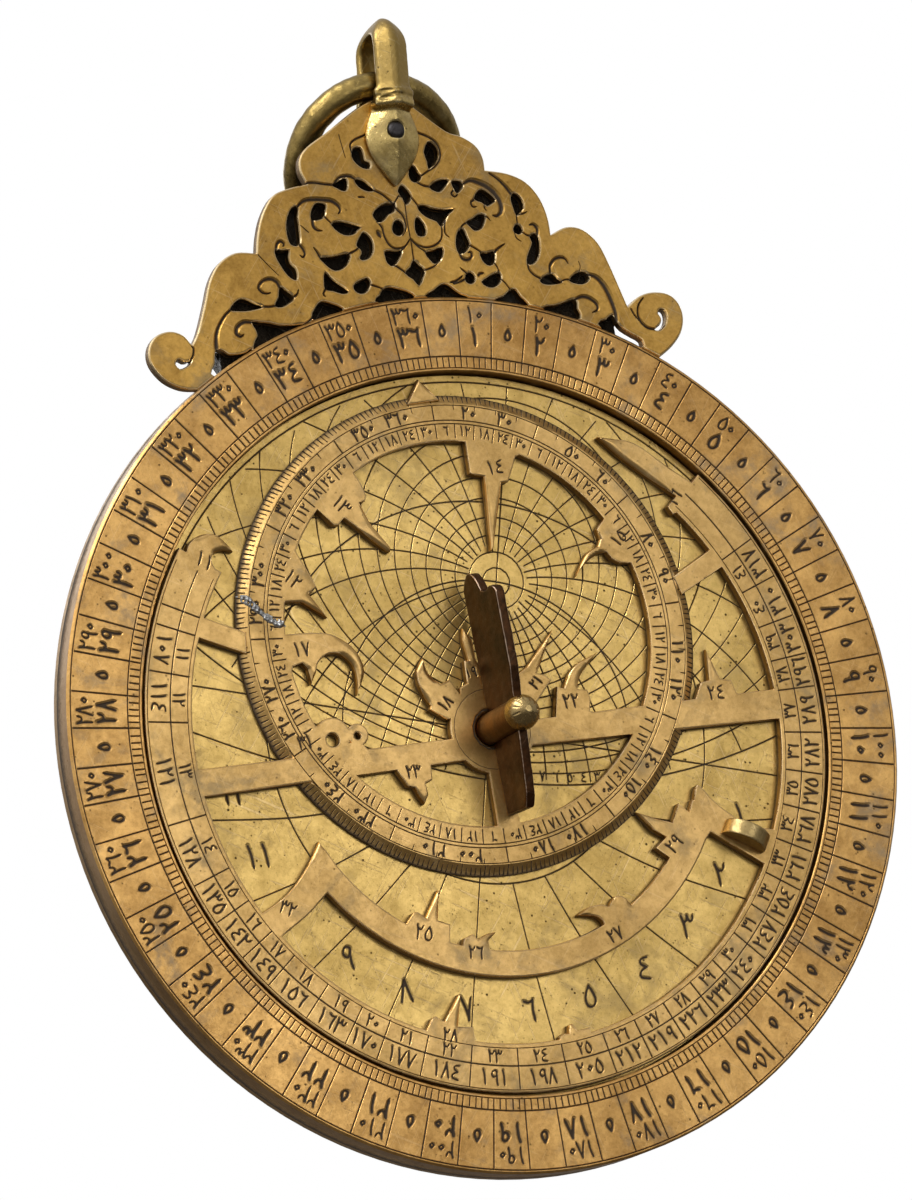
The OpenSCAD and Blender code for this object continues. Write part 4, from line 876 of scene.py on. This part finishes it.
# Throne: contour cuts and curled leaf tips between the openings, each (width at start, middle and end,
# points); all widths are taken wide times, and a cut is deep times as deep as it is wide, between two limits
throne = {"wide": 1.8, "deep": 0.62, "limits": (0.1, 0.4), "lines": (
    (0.7, 0.5, 0.35, ((-38.2, 68.3), (-38, 70.2), (-37.3, 72), (-35.9, 73.9), (-34.6, 75))),
    (0.3, 0.3, 0.3, ((-28.6, 75.2), (-27.6, 75.1), (-26.5, 75.2))),
    (0.5, 0.45, 0.14, ((-25.1, 78.3), (-25.5, 79.3), (-26.6, 79.9), (-28, 79.6), (-28.9, 78.6),
         (-28.5, 77.7), (-27.6, 77.4), (-27, 77.5))),
    (0.35, 0.25, 0.12, ((-22.9, 76.5), (-22.2, 77), (-21.9, 77.7))),
    (0.45, 0.4, 0.14, ((-24.7, 84.7), (-24.3, 85.9), (-23.6, 86.3), (-23.1, 85.8), (-23.4, 85.4))),
    (0.35, 0.6, 0.14, ((-19.6, 92.1), (-18.4, 93), (-17, 93.25), (-15, 93.1), (-13.2, 92.8),
         (-12.1, 91.9), (-11.9, 91), (-12.4, 90.5))),
    (0.4, 0.35, 0.12, ((-20.4, 85.7), (-19.8, 84.7), (-19.6, 83.8), (-20.1, 83.3), (-20.6, 83.7))),
    (0.5, 0.45, 0.12, ((-17.2, 89.8), (-17.2, 88.6), (-16.7, 87.9), (-15.8, 87.7))),
    (0.3, 0.2, 0.2, ((-15, 90.2), (-14.4, 89.4), (-13.8, 88.8))),
    (0.4, 0.3, 0.12, ((-16.9, 83), (-17.4, 84.1), (-17.9, 84.9))),
    (0.35, 0.25, 0.2, ((-11.7, 83.4), (-10.4, 83.9), (-9.6, 84.4))),
    (0.35, 0.25, 0.12, ((-16.8, 77.6), (-17.5, 76.7), (-17.2, 76.2))),
    (0.3, 0.25, 0.2, ((-8.7, 77.8), (-7.4, 77.3), (-6.4, 76.8))),
    (0.4, 0.3, 0.3, ((-22, 71.6), (-20.8, 72.2), (-20, 72.9))),
    (0.4, 0.6, 0.14, ((-31, 72.6), (-32.6, 72.7), (-33.9, 71.9), (-34.2, 70.9), (-33.6, 70.3),
         (-33, 70.6))),
    (0.3, 0.3, 0.2, ((-8, 101), (-8.1, 102.4), (-7.2, 103.3), (-5.6, 103.9), (-4.6, 104.3))),
    (0.4, 0.35, 0.35, ((-17.6, 96.15), (-16, 96.2), (-13.8, 95.8), (-12.3, 95.6))),
    (0.3, 0.45, 0.3, ((-12.3, 95.7), (-11, 96.85), (-9.3, 97), (-8.2, 96.4))),
    (0.35, 0.3, 0.3, ((-5.2, 94.3), (-4, 93.6), (-3.1, 92.8), (-2.4, 92.1), (-1.8, 91.6))),
    (0.12, 0.14, 0.08, ((-9.9, 104.4), (-9.7, 102.6), (-9.4, 100.2))),
    (0.3, 0.3, 0.14, ((-1.8, 91.3), (-1.5, 90.6), (-0.7, 89.6), (-0.35, 88.2), (-0.5, 87), (-1.3, 86))),
    (0.5, 0.6, 0.3, ((-5.7, 86.9), (-5.5, 86.4), (-5.3, 86))),
    (0.3, 0.3, 0.2, ((-5.5, 88.7), (-4.8, 87.6), (-4.6, 86), (-4, 84.5), (-2.8, 83.8), (-1.2, 84.1),
         (-0.1, 85.3))),
    (0.3, 0.25, 0.12, ((-2.1, 83.3), (-0.9, 84.3), (0, 85.4))),
    (0.3, 0.3, 0.25, ((-4.7, 81.5), (-3.2, 80.6), (-1.8, 79.4))),
    (0.14, 0.12, 0.08, ((-28.1, 84.2), (-27.2, 83), (-25.9, 81.4), (-25, 80.4))),
    (0.2, 0.25, 0.12, ((-8.2, 93.2), (-7.7, 93.2), (-7.1, 93.1))),
    (0.25, 0.25, 0.2, ((-0.2, 92.8), (-0.7, 93), (-1.3, 92.4), (-1.8, 91.7))),
    (0.12, 0.16, 0.08, ((-18.3, 87.5), (-18.8, 88), (-19.6, 88.9))),
    (0.3, 0.3, 0.2, ((4.6, 104), (6.3, 103.2), (7.6, 102.2), (8.2, 100.7), (8, 99.2), (6.9, 97.9),
         (5.2, 97), (3.7, 96.2))),
    (0.3, 0.3, 0.3, ((2.8, 95.4), (4, 94.6), (5.3, 94.3))),
    (0.3, 0.85, 0.16, ((11.3, 94.4), (12.8, 95), (14.2, 94.6), (15.8, 93.7), (17.1, 92.3),
         (17.8, 90.6), (17.6, 89.2), (16.8, 88.5), (15.9, 88.6))),
    (0.3, 0.3, 0.1, ((9.7, 93.6), (9, 92.9), (9.5, 92.3), (10.1, 92.7))),
    (0.35, 0.35, 0.12, ((13.2, 91.7), (12.4, 91.2), (12.5, 90.4), (13.2, 90.3))),
    (0.3, 0.2, 0.1, ((14.9, 90.6), (14.6, 90.1), (14.9, 89.5))),
    (0.3, 0.2, 0.1, ((14.3, 88.7), (14.9, 88.3), (15.3, 87.7))),
    (0.3, 0.25, 0.3, ((11, 87.6), (10.2, 87.3), (9.6, 86.6))),
    (0.4, 0.45, 0.12, ((8.7, 82.6), (9, 81.4), (10, 81.1), (10.8, 81.6), (10.7, 82.4), (10.2, 82.3))),
    (0.35, 0.25, 0.25, ((10.6, 83.7), (11.8, 82.9), (12.7, 82.2))),
    (0.5, 0.35, 0.08, ((14.9, 81.9), (16, 82.8), (17.3, 83.5))),
    (0.25, 0.2, 0.25, ((14.6, 80.5), (15.2, 79.2), (15.3, 78.2))),
    (0.25, 0.2, 0.25, ((15.4, 77.4), (16.2, 76.4), (16.9, 75.2))),
    (0.3, 0.25, 0.1, ((9.5, 78.6), (8.8, 79.2), (8.2, 79.8))),
    (0.2, 0.35, 0.12, ((6, 77.3), (7.2, 77.5), (8.4, 78.3))),
    (0.2, 0.3, 0.25, ((6.5, 77), (7.8, 77.3), (9, 77.8))),
    (0.35, 0.4, 0.14, ((11.4, 78.2), (11.8, 78.5), (12.4, 78.6))),
    (0.5, 0.4, 0.25, ((20.2, 92), (19.2, 93.6), (18, 95), (16.6, 96.1))),
    (0.3, 0.25, 0.1, ((20.8, 88.6), (21.5, 88.6), (22.4, 88.9))),
    (0.25, 0.22, 0.2, ((20.5, 88.5), (20.3, 87.6), (20.3, 86.7))),
    (0.25, 0.25, 0.3, ((20.8, 85.5), (21.6, 84.8), (22.4, 84.6))),
    (0.35, 0.45, 0.14, ((23.6, 84.6), (23.8, 85.8), (23.2, 86.6), (22.4, 86.5))),
    (0.2, 0.2, 0.1, ((19.5, 85.6), (19.6, 84.4), (20.4, 83.7))),
    (0.35, 0.3, 0.3, ((21, 79.9), (21, 78.7), (21.8, 77.6), (23, 76.9))),
    (0.3, 0.45, 0.14, ((24.8, 77.5), (25, 79), (25.9, 80.1), (27.2, 80.5), (28.1, 80.1), (28.4, 79.3))),
    (0.25, 0.22, 0.25, ((26.5, 76.2), (27.4, 76.5), (28.4, 76.4))),
    (0.4, 0.7, 0.5, ((31.7, 77.2), (33.2, 76.6), (34.4, 75), (35.2, 72.8), (35.7, 70.4), (35.7, 68.6))),
    (0.16, 0.14, 0.08, ((30.2, 77.6), (30.6, 78.6), (30.4, 79.6))),
    (0.4, 0.5, 0.14, ((28.4, 72.8), (30, 73.3), (31.4, 72.9), (32.5, 71.8), (32.4, 70.8), (31.4, 70.4))),
    (0.35, 0.35, 0.14, ((42.8, 66.7), (41.4, 67), (40.3, 68), (39.9, 69.6), (40.3, 71.2), (41.4, 72.4))),
    (0.2, 0.25, 0.2, ((38.7, 70.7), (39.2, 69.4), (40.1, 68.2))),
    (0.3, 0.3, 0.2, ((-43.2, 66.7), (-42.6, 67.5), (-42.3, 68.6), (-42.6, 69.3))),
    (0.3, 0.25, 0.3, ((1.4, 92.7), (2, 91.8), (2.6, 90.8))),
    (0.3, 0.25, 0.12, ((7.1, 88.5), (6.7, 87), (6.6, 85.9), (7.2, 85.2))),
    (0.2, 0.3, 0.2, ((0.1, 85.4), (1.2, 84.2), (2.8, 83.7), (4.6, 84.1), (5.8, 85.2), (6.2, 87.3))),
    (0.2, 0.25, 0.25, ((0.1, 85.2), (1.1, 84), (2.6, 82.8))),
    (0.2, 0.25, 0.25, ((4.8, 81.4), (3.6, 80.3), (1.6, 79.7))),
    (0.2, 0.2, 0.2, ((0.1, 91.6), (0, 88.4), (0.05, 85.4))),
    (0.16, 0.2, 0.25, ((0.05, 85), (0.02, 83.2), (0, 81.5))))}


def throneCuts():
    cuts = []
    for w0, w1, w2, points in throne["lines"]:
        p = softLine(points, 4)
        t = np.linspace(0, 1, len(p))
        width = throne["wide"] * ((1 - t) * (1 - 2 * t) * w0 + 4 * t * (1 - t) * w1 + t * (2 * t - 1) * w2)
        cutLine(cuts, p, width, float(np.clip(throne["deep"] * width.max(), *throne["limits"])))
    return cuts


thronePiece = engravedPiece("throne", "carvedThrone", [
    {"pick": frontAt(0), "cuts": throneCuts(), "rim": (0.42, 0.34), "wall": (1.8, 0.55)}])
place(thronePiece, "mater", "throne", "throne_brass", throneBrass)


# Small solid pieces: cast or filed shapes with worn edges (body, slot, finish, grid size, smoothing rounds,
# lumps, edge factor for wear and painted highlight, dents). The cap's dents are its flutes.
flutes = [(*polar(2.0, a), 0.6, 0.2, a, 0.13) for a in np.degrees(np.arange(11) * 0.571)]
worn = {
    "shackle": ("shackle_body", "shackle_brass", shackleBrass, 0.17, 24, 0.04, 1.6,
                ((-1.7, 110.5, 1.3, 0.45, -6, 0.35), (-1.8, 109.2, 1.35, 0.5, -6, 0.35))),
    "shackle_rivet": ("shackle_body", "rivet_iron", ironMetal, 0.08, 12, 0.06, 1, ()),
    "suspension_ring": ("ring_body", "shackle_brass", ringBrass, 0.3, 6, 0.12, 1, ()),
    "horse": ("horse_body", "horse_copper", horseMetal, 0.13, 16, 0.05, 1.7, ()),
    "pin": ("pin_body", "pin_copper", copperMetal, 0.14, 4, 0, 1, ()),
    "pin_cap": ("pin_body", "bright_brass", capBrass, 0.1, 6, 0.06, 1, flutes),
    "rete_knob": ("star_net", "net_brass", knobBrass, 0.12, 9, 0.03, 1.4, ()),
    "vane_left": ("rule_body", "net_brass", netBrass, 0.2, 4, 0, 1, ()),
    "vane_right": ("rule_body", "net_brass", netBrass, 0.2, 4, 0, 1, ()),
    "alidade": ("rule_body", "plate_brass", plateBrass, 0.22, 4, 0, 1, ())}
for k, (nodeName, (body, slot, material, *shape)) in enumerate(worn.items()):
    name = "worn" + "".join(word.capitalize() for word in nodeName.split("_"))
    place(castPiece(nodeName, name, *shape, k + 1), body, nodeName, slot, material)


# Repair: runs of solder heaped across the ecliptic ring and its sloping edge
solder = {"from": (-41.5, 26.3), "to": (-34.0, 20.3), "grid": (150, 34), "half": (0.34, 0.5), "high": 0.42,
          "sunk": 0.05}


def solderPiece():
    # a strip whose width and height come from waves: z = surface + high (1 - |v|^2.6) times a sum of sines,
    # its borders sunk into the metal; u runs along it and v across it from -1 to 1
    nu, nv = solder["grid"]
    u, v = np.meshgrid(np.linspace(0, 1, nu), np.linspace(-1, 1, nv), indexing="ij")
    a, b = np.array(solder["from"]), np.array(solder["to"])
    along = (b - a) / np.linalg.norm(b - a)
    across = np.array([-along[1], along[0]])
    lumps = sum(share * np.abs(np.sin(rate * u + shift))
                for share, rate, shift in ((0.55, 5.3, 0.4), (0.3, 13.7, 2), (0.15, 31, 1)))
    ends = np.minimum(u, 1 - u)
    half = (solder["half"][0] + solder["half"][1] * lumps) * np.clip(ends * 14, 0.3, 1)
    flat = a + u[..., None] * (b - a) + (v * half + 0.3 * np.sin(6 * u + 1))[..., None] * across
    draw = np.random.default_rng(5)
    waves = draw.normal(0, 1, (2, 14)) * np.linspace(1.5, 6, 14)
    bumps = np.clip(0.62 + np.sin(flat @ waves + draw.uniform(0, 6, 14)).sum(-1) * 0.11, 0.05, 1.2)
    high = solder["high"] * (0.4 + lumps) * (1 - np.abs(v) ** 2.6) * bumps * np.clip(ends * 12, 0, 1)
    z = bevelHeight(flat.reshape(-1, 2)).reshape(u.shape) - solder["sunk"] + high
    index = np.arange(u.size).reshape(u.shape)
    faces = np.stack([index[:-1, :-1], index[1:, :-1], index[1:, 1:], index[:-1, 1:]], -1).reshape(-1, 4)
    cut = np.clip(np.abs(v) * 3 - 2.3, 0, 1) + np.clip(1.2 - 2.4 * bumps, 0, 1)
    points = np.column_stack([flat.reshape(-1, 2), z.ravel()])
    return meshPiece("solderSeam", points, faces, {"cut": cut.ravel()}, 60)


place(solderPiece(), "star_net", "ecliptic_repair", "solder", solderMetal)


# Back of the mater: four quadrants of degrees (radii of the lines to five and one degree), sines to the upper
# left, arcs to the upper right, and a shadow square of two frames (reach, width, depth)
back = {"rings": ((74.2, 0.34), (71.8, 0.28), (66.9, 0.34), (65.8, 0.24)), "depth": 0.14,
        "five": (66.95, 74.15), "one": (71.85, 74.15), "number": (69.4, 2.6, 0.55, 0.17, 0.64),
        "axis": (4.5, 65.7), "arc": 64, "frames": ((36, 0.34, 0.14), (31, 0.26, 0.12)),
        "squareNumber": (2.6, 0.52, 0.16)}


def backCuts():
    cuts = []
    for radius, width in back["rings"]:
        cutRing(cuts, (0, 0), radius, width, back["depth"])
    for k in range(360):
        cutLine(cuts, spoke(back["one" if k % 5 else "five"], k), 0.32, back["depth"])
    for k in range(72):
        value = 5 * (k % 18 + 1) if k // 18 % 2 == 0 else 90 - 5 * (k % 18)
        cutOnCircle(cuts, value, back["number"], 5 * k + 2.5, 5 * k + 2.5)
    for x, y in ((-1, 0), (1, 0), (0, 1), (0, -1)):
        cutLine(cuts, [(x * r, y * r) for r in back["axis"]], 0.36, 0.15)
    for k in range(1, 13):
        h = 5 * k
        cutLine(cuts, [(-math.sqrt(back["arc"] ** 2 - h ** 2), h), (-0.3, h)], 0.24, 0.11)
        if k % 2 == 0:
            cutLine(cuts, arcPoints(h, 1, 89), 0.26, 0.12)
    cutLine(cuts, arcPoints(back["arc"], 91, 179), 0.3, 0.13)
    outer, inner = back["frames"][0][0], back["frames"][1][0]
    for x in (-1, 1):
        for reach, width, depth in back["frames"]:
            cutLine(cuts, [(x * reach, -0.4), (x * reach, -reach)], width, depth)
            cutLine(cuts, [(x * reach, -reach), (x * 0.4, -reach)], width, depth)
        for k in range(1, 12):
            step = 3 * k - 0.2
            cutLine(cuts, [(x * inner, -step), (x * outer, -step)], 0.26, 0.12)
            cutLine(cuts, [(x * step, -inner), (x * step, -outer)], 0.26, 0.12)
            if k % 3 == 0:
                for at in ((x * 28.6, 1.6 - 3 * k), (x * (3 * k - 1.6), -28.2)):
                    cutNumber(cuts, k, at, 90, *back["squareNumber"])
    return cuts


backDepth = -weldedNode("mater_back")[0][:, 2].min()
backPiece = engravedPiece("mater_back", "engravedBack", [
    {"pick": frontAt(backDepth), "cuts": backCuts(), "rim": (0.3, 0.24)}], side=0.35, behind=True)
place(backPiece, "mater", "mater_back", "mater_brass", backBrass)

# The other nodes keep the CAD shape
finishes = {"limb_rivets": limbBrass, "throne_ground": groundMetal, "throne_dowels": throneBrass,
            "tympan_middle": plateBrass, "tympan_rear": plateBrass, "vane_rivets": throneBrass,
            "pin_washer": plateBrass}
for nodeName, material in finishes.items():
    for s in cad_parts[nodeName].material_slots:
        s.material = material


# Camera where the photograph was taken from, worked out from the limb's circles
camera = {"place": (-0.41820, -0.93510, -0.16700), "right": (0.9135, -0.3727, -0.1633),
          "up": (0.0789, -0.2314, 0.9697), "back": (-0.3992, -0.8986, -0.1820), "lens": 186.225}
cam = bpy.data.cameras.new("camera")
cam.sensor_fit, cam.sensor_height, cam.sensor_width = "VERTICAL", 36, 36
cam.lens, cam.clip_start, cam.clip_end = camera["lens"], 0.05, 20
camObject = bpy.data.objects.new("camera", cam)
bpy.context.scene.collection.objects.link(camObject)
rows = zip(camera["right"], camera["up"], camera["back"], camera["place"])
camObject.matrix_world = Matrix([*rows, (0, 0, 0, 1)])
bpy.context.scene.camera = camObject

# Pale floor well below, mirrored dark by the metal as a painted shade, soft lamps, and a white surround
floorHeight = -0.32
bpy.ops.mesh.primitive_plane_add(size=6, location=(0, 0.6, floorHeight))
floor = bpy.context.object
floor.name = "paleFloor"
floor.data.transform(Matrix.Translation((0, 0.6, floorHeight)))
floor.location = (0, 0, 0)
pale = bpy.data.materials.new("paleFloor")
pale.use_nodes = True
t = pale.node_tree
shader = t.nodes["Principled BSDF"]
shader.inputs["Roughness"].default_value = 0.7
path = addNode(t, "ShaderNodeLightPath")
glow = addNode(t, "ShaderNodeEmission", {"Color": (1, 1, 1, 1), "Strength": 1.0})
# the floor is pale to light and to the camera but dark in reflections, a painted shade
floorShadeInReflections = mixColours(t, path.outputs["Is Glossy Ray"], (0.9, 0.9, 0.9, 1), (0.12, 0.11, 0.1, 1))
t.links.new(floorShadeInReflections, shader.inputs["Base Color"])
links = {0: path.outputs["Is Camera Ray"], 1: shader.outputs[0], 2: glow.outputs[0]}
both = addNode(t, "ShaderNodeMixShader", links=links)
t.links.new(both.outputs[0], t.nodes["Material Output"].inputs["Surface"])
floor.data.materials.append(pale)

world = bpy.data.worlds.new("surround")
bpy.context.scene.world = world
world.use_nodes = True
t = world.node_tree
t.nodes.clear()
path = addNode(t, "ShaderNodeLightPath")
seen = sums(t, "MAXIMUM", path.outputs["Is Camera Ray"], path.outputs["Is Transmission Ray"])
white = addNode(t, "ShaderNodeBackground", {"Color": (1, 1, 1, 1), "Strength": 1.0})
around = addNode(t, "ShaderNodeBackground", {"Color": (1, 0.98, 0.95, 1), "Strength": 0.45})
# the metal mirrors a room: bright to the upper left, a window far to the right and a paler wall behind
look = addNode(t, "ShaderNodeTexCoord").outputs["Generated"]
lobes = (((-0.62, -0.3, 0.72), 2.3, 1.2), ((0.97, -0.1, 0.12), 7.0, 0.46), ((0.4, 0.9, 0.2), 8.0, 0.6))
room = 0.0
for way, power, strength in lobes:
    toward = addNode(t, "ShaderNodeVectorMath", {1: way}, {0: look}, operation="DOT_PRODUCT").outputs[1]
    lobe = sums(t, "POWER", sums(t, "MULTIPLY_ADD", toward, 0.5, 0.5, clamp=True), power)
    room = sums(t, "MULTIPLY_ADD", lobe, strength, room)
glossy = addNode(t, "ShaderNodeBackground", {"Color": (1, 0.98, 0.95, 1)}, {"Strength": room})
links = {0: path.outputs["Is Glossy Ray"], 1: around.outputs[0], 2: glossy.outputs[0]}
mixGloss = addNode(t, "ShaderNodeMixShader", links=links)
mixSeen = addNode(t, "ShaderNodeMixShader", links={0: seen, 1: mixGloss.outputs[0], 2: white.outputs[0]})
addNode(t, "ShaderNodeOutputWorld", links={"Surface": mixSeen.outputs[0]})


def softLamp(name, place, aim, size, watts):
    lamp = bpy.data.lights.new(name, "AREA")
    lamp.shape, lamp.size, lamp.size_y, lamp.energy = "RECTANGLE", size[0], size[1], watts
    o = bpy.data.objects.new(name, lamp)
    bpy.context.scene.collection.objects.link(o)
    facing = (Vector(place) - Vector(aim)).to_track_quat("Z", "Y").to_matrix().to_4x4()
    o.matrix_world = Matrix.Translation(place) @ facing


softLamp("keyLamp", (0.28, -1.35, 0.18), (0, 0, 0), (0.9, 0.28), 1.75)
softLamp("topLamp", (-0.55, -0.15, 1.0), (0, 0, 0.02), (0.5, 0.5), 5)
softLamp("glintLamp", (-0.75, -0.7, 0.75), (0, 0, 0.02), (0.1, 0.1), 2)
softLamp("backLamp", (0.3, 1.3, 0.3), (0, 0, 0), (1.2, 0.7), 6)
bpy.context.scene.view_settings.view_transform = "Standard"
print("camera and lamps set")
